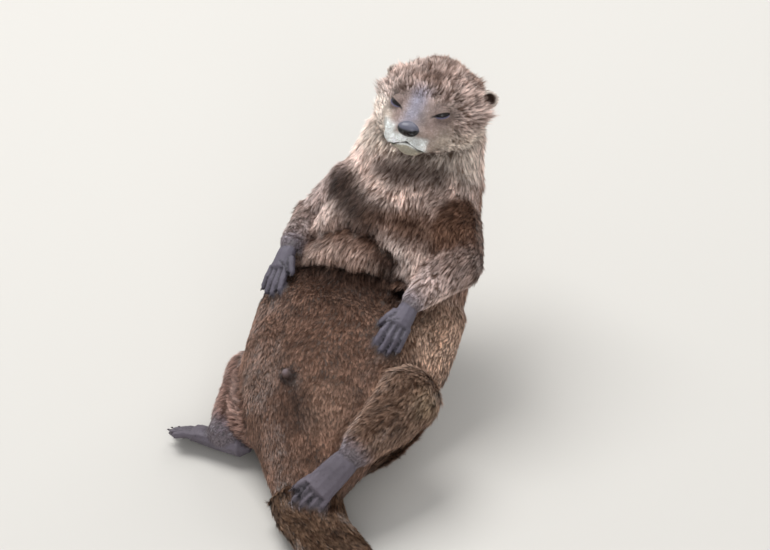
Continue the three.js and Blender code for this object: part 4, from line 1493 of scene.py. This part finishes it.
def taper(path, radii, sides):
    """Places and faces of a closed taper along a path, which ends in a point."""
    path = np.array(path, dtype=float)
    run = unit(np.gradient(path, axis=0))
    first = unit(np.cross(run, [0.31, 0.2, 0.93]))  # no claw or whisker points this way
    second = np.cross(run, first)
    turns = np.linspace(0, 2 * math.pi, sides, endpoint=False)
    rings = path[:-1, None] + np.array(radii)[:-1, None, None] * (
        first[:-1, None] * np.cos(turns)[:, None] + second[:-1, None] * np.sin(turns)[:, None])
    places = np.vstack([rings.reshape(-1, 3), path[-1:]])
    faces = [tuple(range(sides))[::-1]]
    for ring in range(len(path) - 2):
        for i in range(sides):
            j = (i + 1) % sides
            here, after = ring * sides, (ring + 1) * sides
            faces.append((here + i, here + j, after + j, after + i))
    last = (len(path) - 2) * sides
    faces += [(last + i, last + (i + 1) % sides, len(places) - 1) for i in range(sides)]
    return places, faces


def joined(parts):
    """Places and faces of several parts as one."""
    places, faces, count = [], [], 0
    for part_places, part_faces in parts:
        places.append(part_places)
        faces += [tuple(i + count for i in face) for face in part_faces]
        count += len(part_places)
    return np.vstack(places), faces


trial_places, trial_faces = taper([(0, 0, 0), (0, 0, 1), (0, 0, 2)], [1, 1, 0], 6)
print("a taper of two rings has", len(trial_places), "places and", len(trial_faces), "faces")

# %% Claws
CLAW_LONG, CLAW_THICK = 1.9, 0.7  # length and radius in millimetres
CLAW_OUT = 0.6  # how far a claw reaches past the digit's tip
CLAW_HOOK = np.array([0, 0, -0.5]) * MM
claw_parts = []
for name in PAWS:
    for tip_place, way in TIPS[name]:
        shares = np.linspace(0, 1, 5)
        base = tip_place - way * (CLAW_LONG - CLAW_OUT) * MM
        path = [base + way * CLAW_LONG * MM * t + CLAW_HOOK * t * t for t in shares]
        claw_parts.append(taper(path, CLAW_THICK * MM * np.sqrt(1 - shares * 0.96), 8))
horn, _, shader = new_finish("pale worn claw horn")
shader.inputs["Base Color"].default_value = linear("#4b4447")
shader.inputs["Roughness"].default_value = 0.35  # worn horn, a dull gloss
claws = mesh_piece("claws", *joined(claw_parts), horn)
print("claws:", len(claw_parts))

# %% Whiskers
WHISKERS = 9  # on each side, in three rows
WHISKER_RADIUS = 0.15 * MM
DROOP = np.array([-0.30, 0, -0.22])
whisker_parts = []
for side in (1, -1):
    for index in range(WHISKERS):
        row, column = index % 3, index // 3
        root = np.array([43 - 3.5 * column, side * (9.5 + 2.2 * column), -5.5 - 3.0 * row + 0.6 * column])
        length = 17 + 4 * column + random.uniform(-3, 3)
        downwards = -0.15 - 0.22 * row + random.uniform(-0.1, 0.1)
        out = unit(np.array([0.25 - 0.25 * column, side * 1.0, downwards]))
        shares = np.linspace(0, 1, 9)
        path = [on_head(*(root + out * length * t + DROOP * length * t * t)) for t in shares]
        whisker_parts.append(taper(path, WHISKER_RADIUS * (1 - shares * 0.85), 5))
bristle, _, shader = new_finish("pale springy whisker")
shader.inputs["Base Color"].default_value = linear("#b8aea3")
shader.inputs["Roughness"].default_value = 0.3  # smooth stiff hair
whiskers = mesh_piece("whiskers", *joined(whisker_parts), bristle)
print("whiskers:", len(whisker_parts))

# %% [markdown]
# ## Every piece in its place
#
# The skin takes the place of all the flesh, and the nose pad and the eyeballs take that of their
# own solids. The coat, the claws and the whiskers are added. Nothing moves, so every piece rides on
# the one body of the frame.

# %% Bodies and replaced solids
skin_object = new_object("skin", skin_mesh)
skin_mesh.materials.append(hide)
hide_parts(*FLESH)
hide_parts("nose")
for side, eyeball in eyeballs.items():
    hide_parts(f"eye_{side}")
pieces = [skin_object, nose_pad, *eyeballs.values(), claws, whiskers, *coat]
for piece in pieces:
    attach(piece, "root")
print("pieces:", len(pieces))
